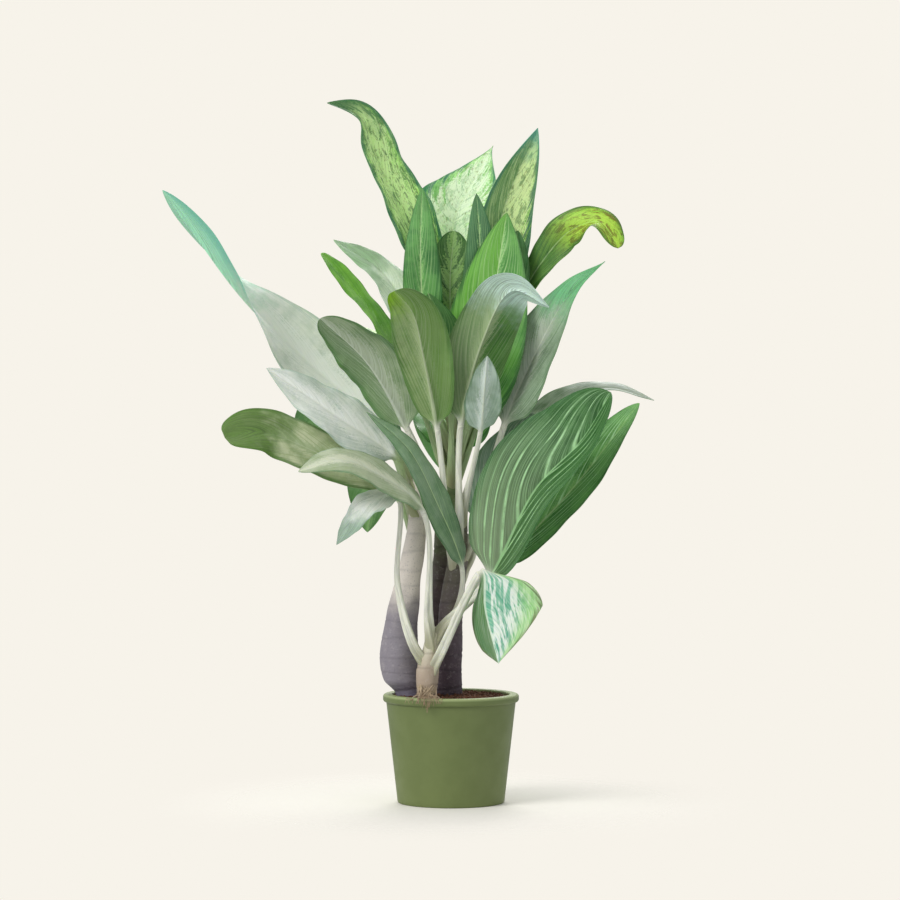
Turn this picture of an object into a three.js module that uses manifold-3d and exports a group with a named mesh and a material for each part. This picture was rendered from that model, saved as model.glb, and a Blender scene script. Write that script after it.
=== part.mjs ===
// A potted dieffenbachia: a round cover pot filled with soil, three old canes and a young shoot
// that stand in holes in the soil, and the large waved leaves that the canes and the shoot carry.
// Units are millimetres and +Z is up. The origin is the centre of the pot's flat underside, and
// -Y is the side that the plant is looked at from.

import * as THREE from 'three';
import { mergeVertices } from 'three/addons/utils/BufferGeometryUtils.js';
import Module from 'manifold-3d';

const wasm = await Module();
wasm.setup();

// ---------------------------------------------------------------- driving dimensions

const gap = 0.4; // clearance between pieces that touch

const potHeight = 136;
const potBaseRadius = 67;
const potNeckRadius = 81; // body of the pot, right below the collar
const collarRadius = 85;
const collarHeight = 10;
const collarRounding = 3.5;
const mouthRadius = 73; // the soil's edge
const wallThickness = 6;
const floorThickness = 9;
const potFacets = 40;
const collarFoot = potHeight - collarHeight;
const edgeRounding = 2; // of the foot and the mouth
const shoulderRadius = potNeckRadius - wallThickness - 2; // of the wall's inside below the collar
const floorCorner = 4; // bevel between the wall's inside and the floor
const shoulderDepth = 10; // the mouth widens to the wall's inside this far below the collar

const soilTop = 132.5; // edge of the soil, a little below the rim
const soilMound = 2.5; // the soil is heaped up this much at its middle
const soilCrumb = 1.1; // height of its unevenness
const soilRings = 5;
const soilSkirt = 4; // height of the soil's edge that touches the mouth

const caneSides = 10;
const scarSpacing = 22; // from one ring-shaped leaf scar to the next
const scarDepth = 1;
const heightSteps = 24; // halvings when the place of a height along a cane is looked for

const bladeThickness = 1.0;
const petioleRadius = 4.2; // of a leaf 100 mm wide, at the blade
const sheathRadius = 6.5; // where a leaf clasps its cane
const sheathRise = 0.18; // part of the petiole's rise that it makes along the cane
const sheathShare = 0.7; // part of the petiole over which it gets thin
const widestAt = 0.5; // exponent of the blade's outline near its base
const blendShare = 0.1; // part of the blade over which the petiole flattens into it
const keelDepth = 1.6; // of the midrib under the blade, in its own radii
const keelTaper = 0.8;
const wavesAlong = 2.2; // along each edge
const wavePhases = [0.4, 2.6]; // of the left and the right edge
const lineDivisions = 400; // for the lengths along a leaf

// How far along the petiole and the blade the cross-sections lie.
const petioleStations = [0, 0.16, 0.38, 0.7];
const bladeStations = [0, 0.04, 0.1, 0.19, 0.3, 0.42, 0.54, 0.66, 0.77, 0.87, 0.95, 1];
const petioleSpread = 75; // degrees from a petiole's top to the outer points of its upper half
const acrossBlade = [-1, -0.5, 0, 0.5, 1];

// ---------------------------------------------------------------- colours

const finish = {
  glaze: { color: 0x74803f, roughness: 0.55 },
  soil: { color: 0x5a3d2c, roughness: 0.95 },
  greyBark: { color: 0x77727a, roughness: 0.8 },
  darkBark: { color: 0x4c404a, roughness: 0.8 },
  shoot: { color: 0xa99f88, roughness: 0.75 },
  lime: { color: 0x9fce62, roughness: 0.45 },
  bright: { color: 0x6fa35a, roughness: 0.45 },
  green: { color: 0x4f8546, roughness: 0.45 },
  veined: { color: 0x44713a, roughness: 0.42 },
  teal: { color: 0x4f7a5c, roughness: 0.5 },
  olive: { color: 0x7d9560, roughness: 0.5 },
  grey: { color: 0x8a9c80, roughness: 0.55 },
  faded: { color: 0xb9c2b0, roughness: 0.6 },
  mint: { color: 0x86b593, roughness: 0.5 },
};

// ---------------------------------------------------------------- canes

// Each cane follows a smooth line through these points, with the radius it has at each of them.
// They start below the soil and end in the growing tip.
const canes = {
  left: {
    node: 'cane_left',
    tone: 'greyBark',
    path: [
      [-48, 4, 98], [-53, 4, 136], [-62, 3, 154], [-65, 3, 184], [-61, 3, 235], [-51, 3, 290],
      [-42, 3, 350], [-38, 3, 415],
    ],
    radii: [14, 17, 22.5, 24, 20, 15, 12, 9],
  },
  right: {
    node: 'cane_right',
    tone: 'darkBark',
    path: [[-2, 6, 98], [-2, 6, 132], [-2, 6, 180], [0, 6, 240], [8, 4, 300], [12, 2, 360]],
    radii: [15, 16, 16, 15, 13, 9],
  },
  back: {
    node: 'cane_back',
    tone: 'darkBark',
    path: [[-14, 42, 98], [-14, 42, 132], [-13, 42, 220], [-8, 42, 330], [4, 40, 430], [10, 38, 505]],
    radii: [13, 14, 14, 13, 11, 8],
  },
  front: {
    node: 'shoot_front',
    tone: 'shoot',
    path: [[-30, -38, 104], [-30, -38, 132], [-29, -38, 165], [-24, -37, 200], [-20, -36, 222]],
    radii: [9, 12, 14, 10, 6],
  },
};

// Roots that run from the young shoot over the soil, each by its direction in degrees and length.
const surfaceRoots = [[205, 24], [262, 20], [318, 26]];
const rootRadius = 1.8;
const rootRises = [8, 4.5, -5]; // above the soil at its start, its middle and its end
const rootMiddle = 0.55;
const rootSides = 6;
const rootSteps = 6;
const rootTaper = [1.3, 0.7]; // its radius at the start and the end, as shares of rootRadius

// ---------------------------------------------------------------- leaves

// A leaf leaves its cane at a height, and its midrib runs through the points of its path, from
// the base of the blade to the tip. Via holds points of the petiole before that. Face is the side
// that the upper surface looks to at the base of the blade, and tipFace at the tip. Fold is the
// angle in degrees that the left and the right half rise by, curl is how far the edges fall back,
// wave is the height of the waved edge, and taper is the exponent of the outline near the tip.
const leaves = [
  // the top crown, on the tall cane at the back
  {
    node: 'leaf_top_left', cane: 'back', height: 472, tone: 'lime', width: 94,
    path: [[-22, 34, 628], [-47, 34, 704], [-90, 33, 796], [-113, 26, 857], [-155, 10, 875]],
    face: [0.75, -0.65, 0.2], tipFace: [0.35, -0.55, 0.8], fold: [30, 30], curl: 8, wave: 3, taper: 0.75,
  },
  {
    node: 'leaf_top_centre', cane: 'back', height: 500, tone: 'lime', width: 128,
    path: [[6, 62, 676], [3, 90, 728], [24, 134, 777], [55, 188, 836]],
    face: [0.05, -0.85, 0.5], tipFace: [-0.2, -0.8, 0.5], fold: [10, 25], curl: 5, wave: 2, taper: 1.35,
  },
  {
    node: 'leaf_top_right', cane: 'back', height: 464, tone: 'lime', width: 84,
    path: [[52, 38, 628], [64, 46, 736], [110, 60, 848]],
    face: [0.15, -1, 0.25], tipFace: [0.3, -0.9, 0.2], fold: [45, 5], curl: 5, wave: 2, taper: 0.9,
  },
  {
    node: 'leaf_right_arching', cane: 'back', height: 386, tone: 'lime', width: 54,
    path: [[84, 32, 622], [115, 14, 677], [150, -4, 715], [185, -28, 723], [206, -52, 690]],
    face: [-0.45, -0.6, 0.7], tipFace: [0.6, -0.75, 0.3], fold: [30, 20], curl: 6, wave: 2, taper: 0.4,
  },
  {
    node: 'leaf_upper_left_dark', cane: 'back', height: 439, tone: 'green', width: 52,
    path: [[-30, 8, 552], [-38, -4, 680], [-36, 4, 768]],
    face: [-0.1, -1, 0.2], tipFace: [-0.1, -1, 0.2], fold: [30, 5], curl: 8, wave: 2, taper: 0.8,
  },
  {
    node: 'leaf_centre_bright', cane: 'back', height: 424, tone: 'bright', width: 108,
    path: [[20, 4, 468], [48, -8, 602], [70, 14, 738]],
    face: [0, -1, 0.1], tipFace: [0.1, -0.8, 0.6], fold: [12, 25], curl: 6, wave: 3, taper: 0.85,
  },
  {
    node: 'leaf_centre_hooked', cane: 'back', height: 398, tone: 'bright', width: 60,
    path: [[0, -22, 500], [-5, -42, 576], [-28, -72, 634]],
    face: [0.25, 0.9, 0.4], tipFace: [0.25, 0.9, 0.4], fold: [15, 15], curl: 8, wave: 2, taper: 0.8,
  },
  {
    node: 'leaf_left_narrow', cane: 'back', height: 409, tone: 'bright', width: 52,
    path: [[-45, 8, 513], [-94, 2, 604], [-162, -8, 686]],
    face: [0.7, -0.4, 0.6], tipFace: [0.6, -0.5, 0.7], fold: [15, 15], curl: 3, wave: 2, taper: 0.45,
  },
  {
    node: 'leaf_left_behind', cane: 'back', height: 421, tone: 'green', width: 66,
    path: [[-38, 50, 572], [-84, 74, 662], [-150, 90, 708]],
    face: [0.4, -0.6, 0.7], tipFace: [0.4, -0.6, 0.7], fold: [20, 20], curl: 8, wave: 2, taper: 0.8,
  },
  {
    node: 'leaf_mottled_centre', cane: 'back', height: 456, tone: 'green', width: 58,
    path: [[0, 18, 590], [-1, 20, 656], [4, 32, 716]],
    face: [0, -1, 0.1], tipFace: [0, -1, 0.3], fold: [15, 15], curl: 6, wave: 2, taper: 0.5,
  },
  {
    node: 'leaf_behind_bright', cane: 'back', height: 446, tone: 'veined', width: 62,
    path: [[44, 18, 556], [70, 14, 640], [84, 22, 716]],
    face: [0, -1, 0.1], tipFace: [0.2, -0.9, 0.3], fold: [10, 25], curl: 6, wave: 2, taper: 0.7,
  },
  {
    node: 'leaf_narrow_teal', cane: 'back', height: 490, tone: 'teal', width: 42,
    path: [[28, 10, 600], [36, 8, 690], [32, 16, 762]],
    face: [0, -1, 0.1], tipFace: [0, -1, 0.2], fold: [25, 10], curl: 5, wave: 1.5, taper: 0.8,
  },
  // the middle crown, on the cane at the right
  {
    node: 'leaf_front_centre', cane: 'right', height: 290, tone: 'olive', width: 74,
    path: [[-17, -50, 468], [-33, -86, 555], [-47, -118, 610], [-68, -140, 634]],
    face: [0.25, 0.95, 0.35], tipFace: [0, 0.6, 0.9], fold: [18, 18], curl: 8, wave: 2, taper: 0.42,
  },
  {
    node: 'leaf_front_right', cane: 'right', height: 318, tone: 'olive', width: 84,
    path: [[12, -45, 472], [38, -82, 576], [74, -122, 636], [118, -150, 614]],
    face: [-0.45, 0.75, 0.5], tipFace: [0.3, 0.3, 0.9], fold: [10, 30], curl: 8, wave: 2, taper: 0.7,
  },
  {
    node: 'leaf_mid_left', cane: 'right', height: 334, tone: 'grey', width: 96,
    path: [[-54, -22, 466], [-103, -46, 550], [-160, -72, 603]],
    face: [0.35, 0.7, 0.6], tipFace: [0.35, 0.7, 0.6], fold: [12, 18], curl: 8, wave: 3, taper: 0.55,
  },
  {
    node: 'leaf_right_folded', cane: 'right', height: 302, tone: 'grey', width: 90,
    path: [[66, -2, 470], [110, -14, 570], [151, -22, 641], [191, -26, 675]],
    face: [-0.35, -0.9, 0.3], tipFace: [-0.6, -0.75, 0.3], fold: [20, 30], curl: 8, wave: 2, taper: 1.25,
  },
  {
    node: 'leaf_inner_right', cane: 'right', height: 352, tone: 'grey', width: 48,
    path: [[36, -70, 464], [40, -96, 512], [44, -112, 556]],
    face: [-0.2, 0.95, 0.3], tipFace: [-0.2, 0.95, 0.3], fold: [15, 15], curl: 6, wave: 2, taper: 0.8,
  },
  {
    node: 'leaf_left_rising', cane: 'right', height: 234, tone: 'teal', width: 48,
    path: [[14, -26, 292], [-19, -54, 379], [-53, -64, 443], [-104, -58, 488]],
    face: [0.55, -0.75, 0.3], tipFace: [0.3, -0.6, 0.7], fold: [20, 20], curl: 8, wave: 2, taper: 0.8,
  },
  {
    node: 'leaf_right_behind', cane: 'right', height: 252, tone: 'green', width: 84,
    path: [[58, -6, 294], [148, -12, 388], [234, -24, 499]],
    face: [-0.6, -0.75, 0.3], tipFace: [-0.6, -0.75, 0.3], fold: [20, 26], curl: 6, wave: 2, taper: 0.72,
  },
  {
    node: 'leaf_right_top_behind', cane: 'right', height: 262, tone: 'grey', width: 70,
    path: [[50, 52, 405], [129, 64, 493], [196, 62, 518], [257, 50, 503]],
    face: [-0.25, -0.35, 0.9], tipFace: [0.1, -0.3, 0.95], fold: [20, 20], curl: 6, wave: 2, taper: 0.9,
  },
  {
    node: 'leaf_striped_behind', cane: 'right', height: 292, tone: 'veined', width: 80,
    path: [[38, 22, 344], [64, 26, 414], [104, 22, 486]],
    face: [-0.4, -0.9, 0.2], tipFace: [-0.3, -0.9, 0.4], fold: [20, 15], curl: 6, wave: 2, taper: 0.7,
  },
  // the left cane
  {
    node: 'leaf_far_left', cane: 'left', height: 400, tone: 'faded', width: 114,
    path: [[-80, 24, 464], [-176, 30, 547], [-260, 12, 632], [-318, -2, 708], [-359, -14, 764]],
    face: [0.5, -1.6, 0.5], tipFace: [0.62, 0.85, 0.55], fold: [16, 18], curl: 2, wave: 2, taper: 0.8,
  },
  {
    node: 'leaf_left_broad', cane: 'left', height: 384, tone: 'faded', width: 84,
    path: [[-68, -10, 428], [-144, -36, 484], [-227, -60, 542]],
    face: [0.3, -0.7, 0.65], tipFace: [0.3, -0.7, 0.65], fold: [15, 15], curl: 8, wave: 3, taper: 0.8,
  },
  {
    node: 'leaf_left_low', cane: 'left', height: 366, tone: 'olive', width: 78,
    path: [[-68, -34, 392], [-158, -68, 435], [-232, -102, 464], [-274, -124, 457]],
    face: [0.25, -0.75, 0.6], tipFace: [-0.1, -0.75, 0.6], fold: [15, 15], curl: 8, wave: 2, taper: 0.3,
  },
  // the young shoot at the front
  {
    node: 'leaf_front_left_low', cane: 'front', height: 200, tone: 'grey', width: 66,
    path: [[-34, -78, 365], [-89, -106, 412], [-135, -124, 430], [-184, -140, 416]],
    face: [0.2, -0.5, 0.85], tipFace: [-0.2, -0.6, 0.75], fold: [15, 15], curl: 8, wave: 2, taper: 0.7,
  },
  {
    node: 'leaf_drooping_left', cane: 'front', height: 180, tone: 'faded', width: 50,
    via: [[-66, -50, 275]],
    path: [[-66, -72, 386], [-102, -98, 376], [-139, -116, 327]],
    face: [-0.35, -0.7, 0.6], tipFace: [-0.7, -0.6, 0.3], fold: [15, 15], curl: 8, wave: 2, taper: 0.8,
  },
  {
    node: 'leaf_right_big', cane: 'front', height: 212, tone: 'veined', width: 150,
    path: [[46, -54, 280], [104, -78, 393], [160, -90, 454], [195, -100, 512]],
    face: [-0.3, -0.95, 0.15], tipFace: [-0.2, -0.9, 0.4], fold: [4, 54], curl: 6, wave: 3, taper: 0.5,
  },
  {
    node: 'leaf_right_hanging', cane: 'front', height: 166, tone: 'mint', width: 146,
    path: [[38, -98, 292], [41, -122, 250], [57, -160, 186]],
    face: [0.05, -0.9, 0.3], tipFace: [0.05, -0.95, 0.3], fold: [-8, -82], curl: 3, wave: 1.5, taper: 1.1,
  },
  // the far side of the plant
  {
    node: 'leaf_back_high', cane: 'back', height: 464, tone: 'green', width: 104,
    path: [[12, 95, 590], [20, 160, 660], [22, 235, 650], [20, 290, 590]],
    face: [0, -0.3, 1], tipFace: [0, 0.6, 0.8], fold: [18, 18], curl: 8, wave: 3, taper: 0.8,
  },
  {
    node: 'leaf_back_left_high', cane: 'back', height: 448, tone: 'lime', width: 104,
    path: [[-40, 95, 520], [-80, 150, 585], [-110, 205, 580], [-135, 250, 530]],
    face: [0.3, -0.2, 1], tipFace: [-0.3, 0.4, 0.8], fold: [18, 18], curl: 8, wave: 3, taper: 0.8,
  },
  {
    node: 'leaf_back_right_high', cane: 'back', height: 440, tone: 'green', width: 104,
    path: [[50, 90, 510], [78, 145, 575], [92, 205, 572], [100, 255, 520]],
    face: [-0.3, -0.2, 1], tipFace: [0.3, 0.4, 0.8], fold: [18, 18], curl: 8, wave: 3, taper: 0.8,
  },
  {
    node: 'leaf_back_low', cane: 'back', height: 380, tone: 'green', width: 110,
    path: [[5, 105, 430], [0, 180, 480], [-8, 250, 468], [-12, 305, 410]],
    face: [0, -0.3, 1], tipFace: [0, 0.6, 0.8], fold: [18, 18], curl: 8, wave: 3, taper: 0.8,
  },
  {
    node: 'leaf_back_left_low', cane: 'left', height: 350, tone: 'green', width: 108,
    path: [[-75, 60, 440], [-125, 115, 490], [-165, 165, 480], [-195, 210, 425]],
    face: [0.4, -0.2, 1], tipFace: [-0.4, 0.5, 0.8], fold: [18, 18], curl: 8, wave: 3, taper: 0.8,
  },
  {
    node: 'leaf_back_right_low', cane: 'back', height: 360, tone: 'veined', width: 108,
    path: [[55, 85, 400], [98, 130, 445], [130, 175, 440], [150, 215, 395]],
    face: [-0.4, -0.2, 1], tipFace: [0.4, 0.5, 0.8], fold: [18, 18], curl: 8, wave: 3, taper: 0.8,
  },
  {
    node: 'leaf_back_left_lowest', cane: 'left', height: 332, tone: 'green', width: 92,
    path: [[-65, 65, 375], [-85, 125, 400], [-100, 180, 380], [-110, 215, 330]],
    face: [0.3, -0.3, 1], tipFace: [-0.3, 0.6, 0.7], fold: [18, 18], curl: 8, wave: 3, taper: 0.8,
  },
];

// ---------------------------------------------------------------- solids

function vector(values) {
  return new THREE.Vector3(...values);
}

// A repeatable random number from 0 to 1 for a place in a pattern.
function scatter(a, b) {
  const value = Math.sin(a * 127.1 + b * 311.7) * 43758.5453;
  return value - Math.floor(value);
}

// Leaves only positions, with shared corners and no empty triangles.
function weld(geometry) {
  geometry.deleteAttribute('normal');
  geometry.deleteAttribute('uv');
  const merged = mergeVertices(geometry, 1e-4);
  const corners = merged.getIndex().array;
  const kept = [];
  for (let i = 0; i < corners.length; i += 3) {
    const [a, b, c] = corners.slice(i, i + 3);
    if (a !== b && b !== c && c !== a) kept.push(a, b, c);
  }
  merged.setIndex(kept);
  return merged;
}

function toSolid(geometry) {
  return new wasm.Manifold(new wasm.Mesh({
    numProp: 3,
    vertProperties: new Float32Array(geometry.getAttribute('position').array),
    triVerts: new Uint32Array(geometry.getIndex().array),
  }));
}

function toGeometry(solid) {
  const mesh = solid.getMesh();
  const geometry = new THREE.BufferGeometry();
  geometry.setAttribute('position', new THREE.BufferAttribute(mesh.vertProperties, 3));
  geometry.setIndex(new THREE.BufferAttribute(mesh.triVerts, 1));
  return geometry;
}

// Skins a row of rings that all have the same number of points and closes both ends. The second
// half of each ring runs back under the first, and its squares are split along the same
// diagonals, so that the two faces of a thin waved sheet never meet.
function loft(rings) {
  const size = rings[0].length;
  const half = size / 2;
  const last = rings.length - 1;
  const points = rings.flat();
  const faces = [];
  for (let i = 0; i < last; i++) {
    for (let j = 0; j < size; j++) {
      const next = (j + 1) % size;
      const [a, b, c, d] = [i * size + j, i * size + next, (i + 1) * size + next, (i + 1) * size + j];
      if (j < half) faces.push(a, b, c, a, c, d);
      else faces.push(a, b, d, b, c, d);
    }
  }
  for (const [ring, turn] of [[0, 1], [last, 0]]) {
    const middle = points.length;
    points.push(rings[ring].reduce((sum, p) => sum.add(p), new THREE.Vector3()).divideScalar(size));
    for (let j = 0; j < size; j++) {
      const edge = [ring * size + j, ring * size + ((j + 1) % size)];
      faces.push(middle, edge[turn], edge[1 - turn]);
    }
  }
  const geometry = new THREE.BufferGeometry().setFromPoints(points);
  geometry.setIndex(faces);
  return toSolid(geometry);
}

function revolve(profile) {
  const outline = profile.map(([radius, height]) => new THREE.Vector2(radius, height));
  const geometry = new THREE.LatheGeometry(outline, potFacets);
  geometry.rotateX(Math.PI / 2);
  return weld(geometry);
}

// ---------------------------------------------------------------- pot and soil

function potSolid() {
  const rounding = [0, 30, 60, 90].map(THREE.MathUtils.degToRad);
  const [lowCentre, highCentre] = [collarFoot + collarRounding, potHeight - collarRounding];
  const edge = collarRadius - collarRounding;
  const profile = [
    [0, 0],
    [potBaseRadius - edgeRounding, 0],
    [potBaseRadius, edgeRounding],
    [potNeckRadius, collarFoot],
    ...rounding.map((a) => [
      edge + collarRounding * Math.sin(a),
      lowCentre - collarRounding * Math.cos(a),
    ]),
    ...rounding.map((a) => [
      edge + collarRounding * Math.cos(a),
      highCentre + collarRounding * Math.sin(a),
    ]),
    [mouthRadius + edgeRounding, potHeight],
    [mouthRadius, potHeight - edgeRounding],
    [shoulderRadius, collarFoot - shoulderDepth],
    [potBaseRadius - wallThickness, floorThickness + floorCorner],
    [potBaseRadius - wallThickness - floorCorner, floorThickness],
    [0, floorThickness],
  ];
  return toSolid(revolve(profile));
}

// The soil fills the pot. Its top is a shallow mound of crumbs, and its side follows the wall.
function soilSolid() {
  const side = [
    [potBaseRadius - wallThickness - floorCorner - gap, floorThickness + gap],
    [potBaseRadius - wallThickness - gap, floorThickness + floorCorner + gap],
    [shoulderRadius - gap, collarFoot - shoulderDepth],
    [mouthRadius - gap, soilTop - soilSkirt],
  ];
  const top = [];
  for (let ring = 0; ring < soilRings; ring++) {
    const share = 1 - ring / soilRings;
    top.push([(mouthRadius - gap) * share, soilTop + soilMound * (1 - share * share)]);
  }
  const geometry = revolve([[0, floorThickness + gap], ...side, ...top, [0, soilTop + soilMound]]);
  const position = geometry.getAttribute('position');
  for (let i = 0; i < position.count; i++) {
    const crumb = (scatter(i, 7) - 0.5) * 2 * soilCrumb;
    if (position.getZ(i) > soilTop - 1) position.setZ(i, position.getZ(i) + crumb);
  }
  return toSolid(geometry);
}

// ---------------------------------------------------------------- canes

function caneCurve(cane) {
  return new THREE.CatmullRomCurve3(cane.path.map(vector));
}

// The place along a cane, from 0 to 1, where it reaches a height.
function caneShareAt(cane, height) {
  const curve = caneCurve(cane);
  let [low, high] = [0, 1];
  for (let step = 0; step < heightSteps; step++) {
    const middle = (low + high) / 2;
    if (curve.getPoint(middle).z < height) low = middle;
    else high = middle;
  }
  return low;
}

function caneRadius(cane, share) {
  const place = share * (cane.radii.length - 1);
  const before = Math.min(Math.floor(place), cane.radii.length - 2);
  const blend = THREE.MathUtils.smoothstep(place - before, 0, 1);
  return THREE.MathUtils.lerp(cane.radii[before], cane.radii[before + 1], blend);
}

// A round stem with a ring-shaped scar where each fallen leaf sat.
function caneSolid(cane, extra = 0) {
  const curve = caneCurve(cane);
  const steps = Math.round(curve.getLength() / (scarSpacing / 2));
  const rings = [];
  for (let i = 0; i <= steps; i++) {
    const share = i / steps;
    const centre = curve.getPoint(share);
    const swelling = i % 2 === 0 ? scarDepth / 2 : -scarDepth / 2;
    const radius = caneRadius(cane, share) + swelling + extra;
    const ring = [];
    for (let j = 0; j < caneSides; j++) {
      const angle = (j / caneSides) * 2 * Math.PI;
      ring.push(new THREE.Vector3(Math.cos(angle), Math.sin(angle), 0).multiplyScalar(radius).add(centre));
    }
    rings.push(ring);
  }
  const [first, final] = [rings[0], rings[rings.length - 1]];
  if (extra > 0) {
    for (const point of first) point.z -= extra;
    for (const point of final) point.z += extra;
  }
  return loft(rings);
}

// The young shoot has a few thick roots that lie half sunk in the soil.
function rootsSolid(cane, extra = 0) {
  const foot = vector(cane.path[1]);
  return surfaceRoots.map(([direction, length]) => {
    const angle = THREE.MathUtils.degToRad(direction);
    const away = new THREE.Vector3(Math.cos(angle), Math.sin(angle), 0);
    const [startRise, middleRise, endRise] = rootRises;
    const line = new THREE.CatmullRomCurve3([
      foot.clone().setZ(soilTop + startRise),
      foot.clone().addScaledVector(away, length * rootMiddle).setZ(soilTop + middleRise),
      foot.clone().addScaledVector(away, length + extra).setZ(soilTop + endRise - extra),
    ]);
    const across = new THREE.Vector3(-away.y, away.x, 0);
    const rings = [];
    for (let i = 0; i <= rootSteps; i++) {
      const share = i / rootSteps;
      const centre = line.getPoint(share);
      const above = new THREE.Vector3().crossVectors(line.getTangent(share), across);
      const radius = rootRadius * THREE.MathUtils.lerp(...rootTaper, share) + extra;
      const ring = [];
      for (let j = 0; j < rootSides; j++) {
        const turn = (j / rootSides) * 2 * Math.PI;
        const side = across.clone().multiplyScalar(Math.cos(turn) * radius);
        ring.push(side.addScaledVector(above, Math.sin(turn) * radius).add(centre));
      }
      rings.push(ring);
    }
    return loft(rings);
  });
}

// ---------------------------------------------------------------- leaf

// The line that the petiole and the midrib follow, and the share of it that is petiole.
function leafLine(leaf) {
  const cane = canes[leaf.cane];
  const start = caneCurve(cane).getPoint(caneShareAt(cane, leaf.height));
  const next = vector((leaf.via ?? leaf.path)[0]);
  const away = next.clone().sub(start);
  const rise = new THREE.Vector3(0, 0, away.z * sheathRise);
  const outward = away.clone().setZ(0).normalize();
  const reach = caneRadius(cane, caneShareAt(cane, leaf.height)) + sheathRadius;
  const sheathTop = start.clone().add(rise).addScaledVector(outward, Math.min(reach, away.length() / 3));
  const points = [start, sheathTop, ...(leaf.via ?? []).map(vector), ...leaf.path.map(vector)];
  const curve = new THREE.CatmullRomCurve3(points);
  const lengths = curve.getLengths(lineDivisions);
  const baseShare = (points.length - leaf.path.length) / (points.length - 1);
  const baseLength = lengths[Math.round(lineDivisions * baseShare)];
  return { curve, petioleShare: baseLength / lengths[lineDivisions] };
}

// Half the width of the blade, as a share of the widest place, from its base at 0 to its tip at 1.
function outline(along, taper) {
  const widest = widestAt / (widestAt + taper);
  const most = widest ** widestAt * (1 - widest) ** taper;
  return (along ** widestAt * (1 - along) ** taper) / most;
}

// The ring of a round petiole, its upper half first, from left to right.
function petioleRing(frame, radius) {
  const upper = acrossBlade.map((side) => 90 - side * petioleSpread);
  const angles = [...upper, ...upper.map((angle) => -angle).reverse()];
  return angles.map((degrees) => {
    const angle = THREE.MathUtils.degToRad(degrees);
    return frame.centre.clone()
      .addScaledVector(frame.right, Math.cos(angle) * radius)
      .addScaledVector(frame.up, Math.sin(angle) * radius);
  });
}

// The ring of the thin folded blade, with the midrib as a keel under its middle.
function bladeRing(frame, leaf, along, ribRadius) {
  const half = Math.max((leaf.width / 2) * outline(along, leaf.taper), bladeThickness);
  const share = half / (leaf.width / 2);
  const upper = [];
  const lower = [];
  for (const side of acrossBlade) {
    const out = Math.abs(side);
    const fold = THREE.MathUtils.degToRad(side < 0 ? leaf.fold[0] : leaf.fold[1]);
    const phase = side < 0 ? wavePhases[0] : wavePhases[1];
    const ripple = leaf.wave * Math.sin(2 * Math.PI * wavesAlong * along + phase);
    const height = out * half * Math.sin(fold) + (ripple - leaf.curl) * share * out * out;
    const middle = frame.centre.clone()
      .addScaledVector(frame.right, side * half * Math.cos(fold))
      .addScaledVector(frame.up, height);
    const tilt = side === 0 ? 0 : fold * Math.sign(side);
    const normal = frame.up.clone()
      .multiplyScalar(Math.cos(tilt))
      .addScaledVector(frame.right, -Math.sin(tilt));
    const over = bladeThickness / 2;
    const under = side === 0 ? Math.max(ribRadius * keelDepth, over) : over;
    upper.push(middle.clone().addScaledVector(normal, over));
    lower.push(middle.clone().addScaledVector(normal, -under));
  }
  return [...upper, ...lower.reverse()];
}

function leafSolid(leaf) {
  const { curve, petioleShare } = leafLine(leaf);
  const [face, tipFace] = [vector(leaf.face), vector(leaf.tipFace)];
  const frameAt = (share, along) => {
    const tangent = curve.getTangentAt(share);
    const wanted = face.clone().lerp(tipFace, along);
    const up = wanted.addScaledVector(tangent, -wanted.dot(tangent)).normalize();
    const right = new THREE.Vector3().crossVectors(tangent, up);
    return { centre: curve.getPointAt(share), up, right };
  };
  const thin = petioleRadius * (1 + leaf.width / 100) / 2;
  const rings = petioleStations.map((along) => {
    const radius = THREE.MathUtils.lerp(sheathRadius, thin, Math.min(along / sheathShare, 1));
    return petioleRing(frameAt(along * petioleShare, 0), radius);
  });
  for (const along of bladeStations) {
    const frame = frameAt(petioleShare + along * (1 - petioleShare), along);
    const round = petioleRing(frame, thin);
    const flat = bladeRing(frame, leaf, along, thin * (1 - along) ** keelTaper);
    const blend = THREE.MathUtils.smoothstep(along, 0, blendShare);
    rings.push(round.map((point, i) => point.lerp(flat[i], blend)));
  }
  return loft(rings).subtract(caneSolid(canes[leaf.cane], gap));
}

// ---------------------------------------------------------------- the whole plant

const plant = new THREE.Group();

function addPiece(node, solid, tone) {
  const material = new THREE.MeshStandardMaterial({ ...finish[tone], metalness: 0 });
  const mesh = new THREE.Mesh(toGeometry(solid), material);
  mesh.name = node;
  plant.add(mesh);
}

addPiece('pot', potSolid(), 'glaze');

const shoot = canes.front;
const roots = rootsSolid(shoot);
let soil = soilSolid();
for (const cane of Object.values(canes)) soil = soil.subtract(caneSolid(cane, gap));
for (const root of rootsSolid(shoot, gap)) soil = soil.subtract(root);
addPiece('soil', soil, 'soil');

for (const cane of [canes.left, canes.right, canes.back]) addPiece(cane.node, caneSolid(cane), cane.tone);
addPiece(shoot.node, roots.reduce((whole, root) => whole.add(root), caneSolid(shoot)), shoot.tone);

for (const leaf of leaves) addPiece(leaf.node, leafSolid(leaf), leaf.tone);

export default plant;
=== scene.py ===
"""The finished look of a potted dieffenbachia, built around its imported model.

Shapes are worked out in millimetres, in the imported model's own frame: +Z is up, the origin is
the centre of the pot's underside and -Y is the side that the plant is looked at from. The pot and
each leaf and cane follow the same lines, widths and folds as their solids, with finer surfaces.
"""

import math
from dataclasses import dataclass

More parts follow.
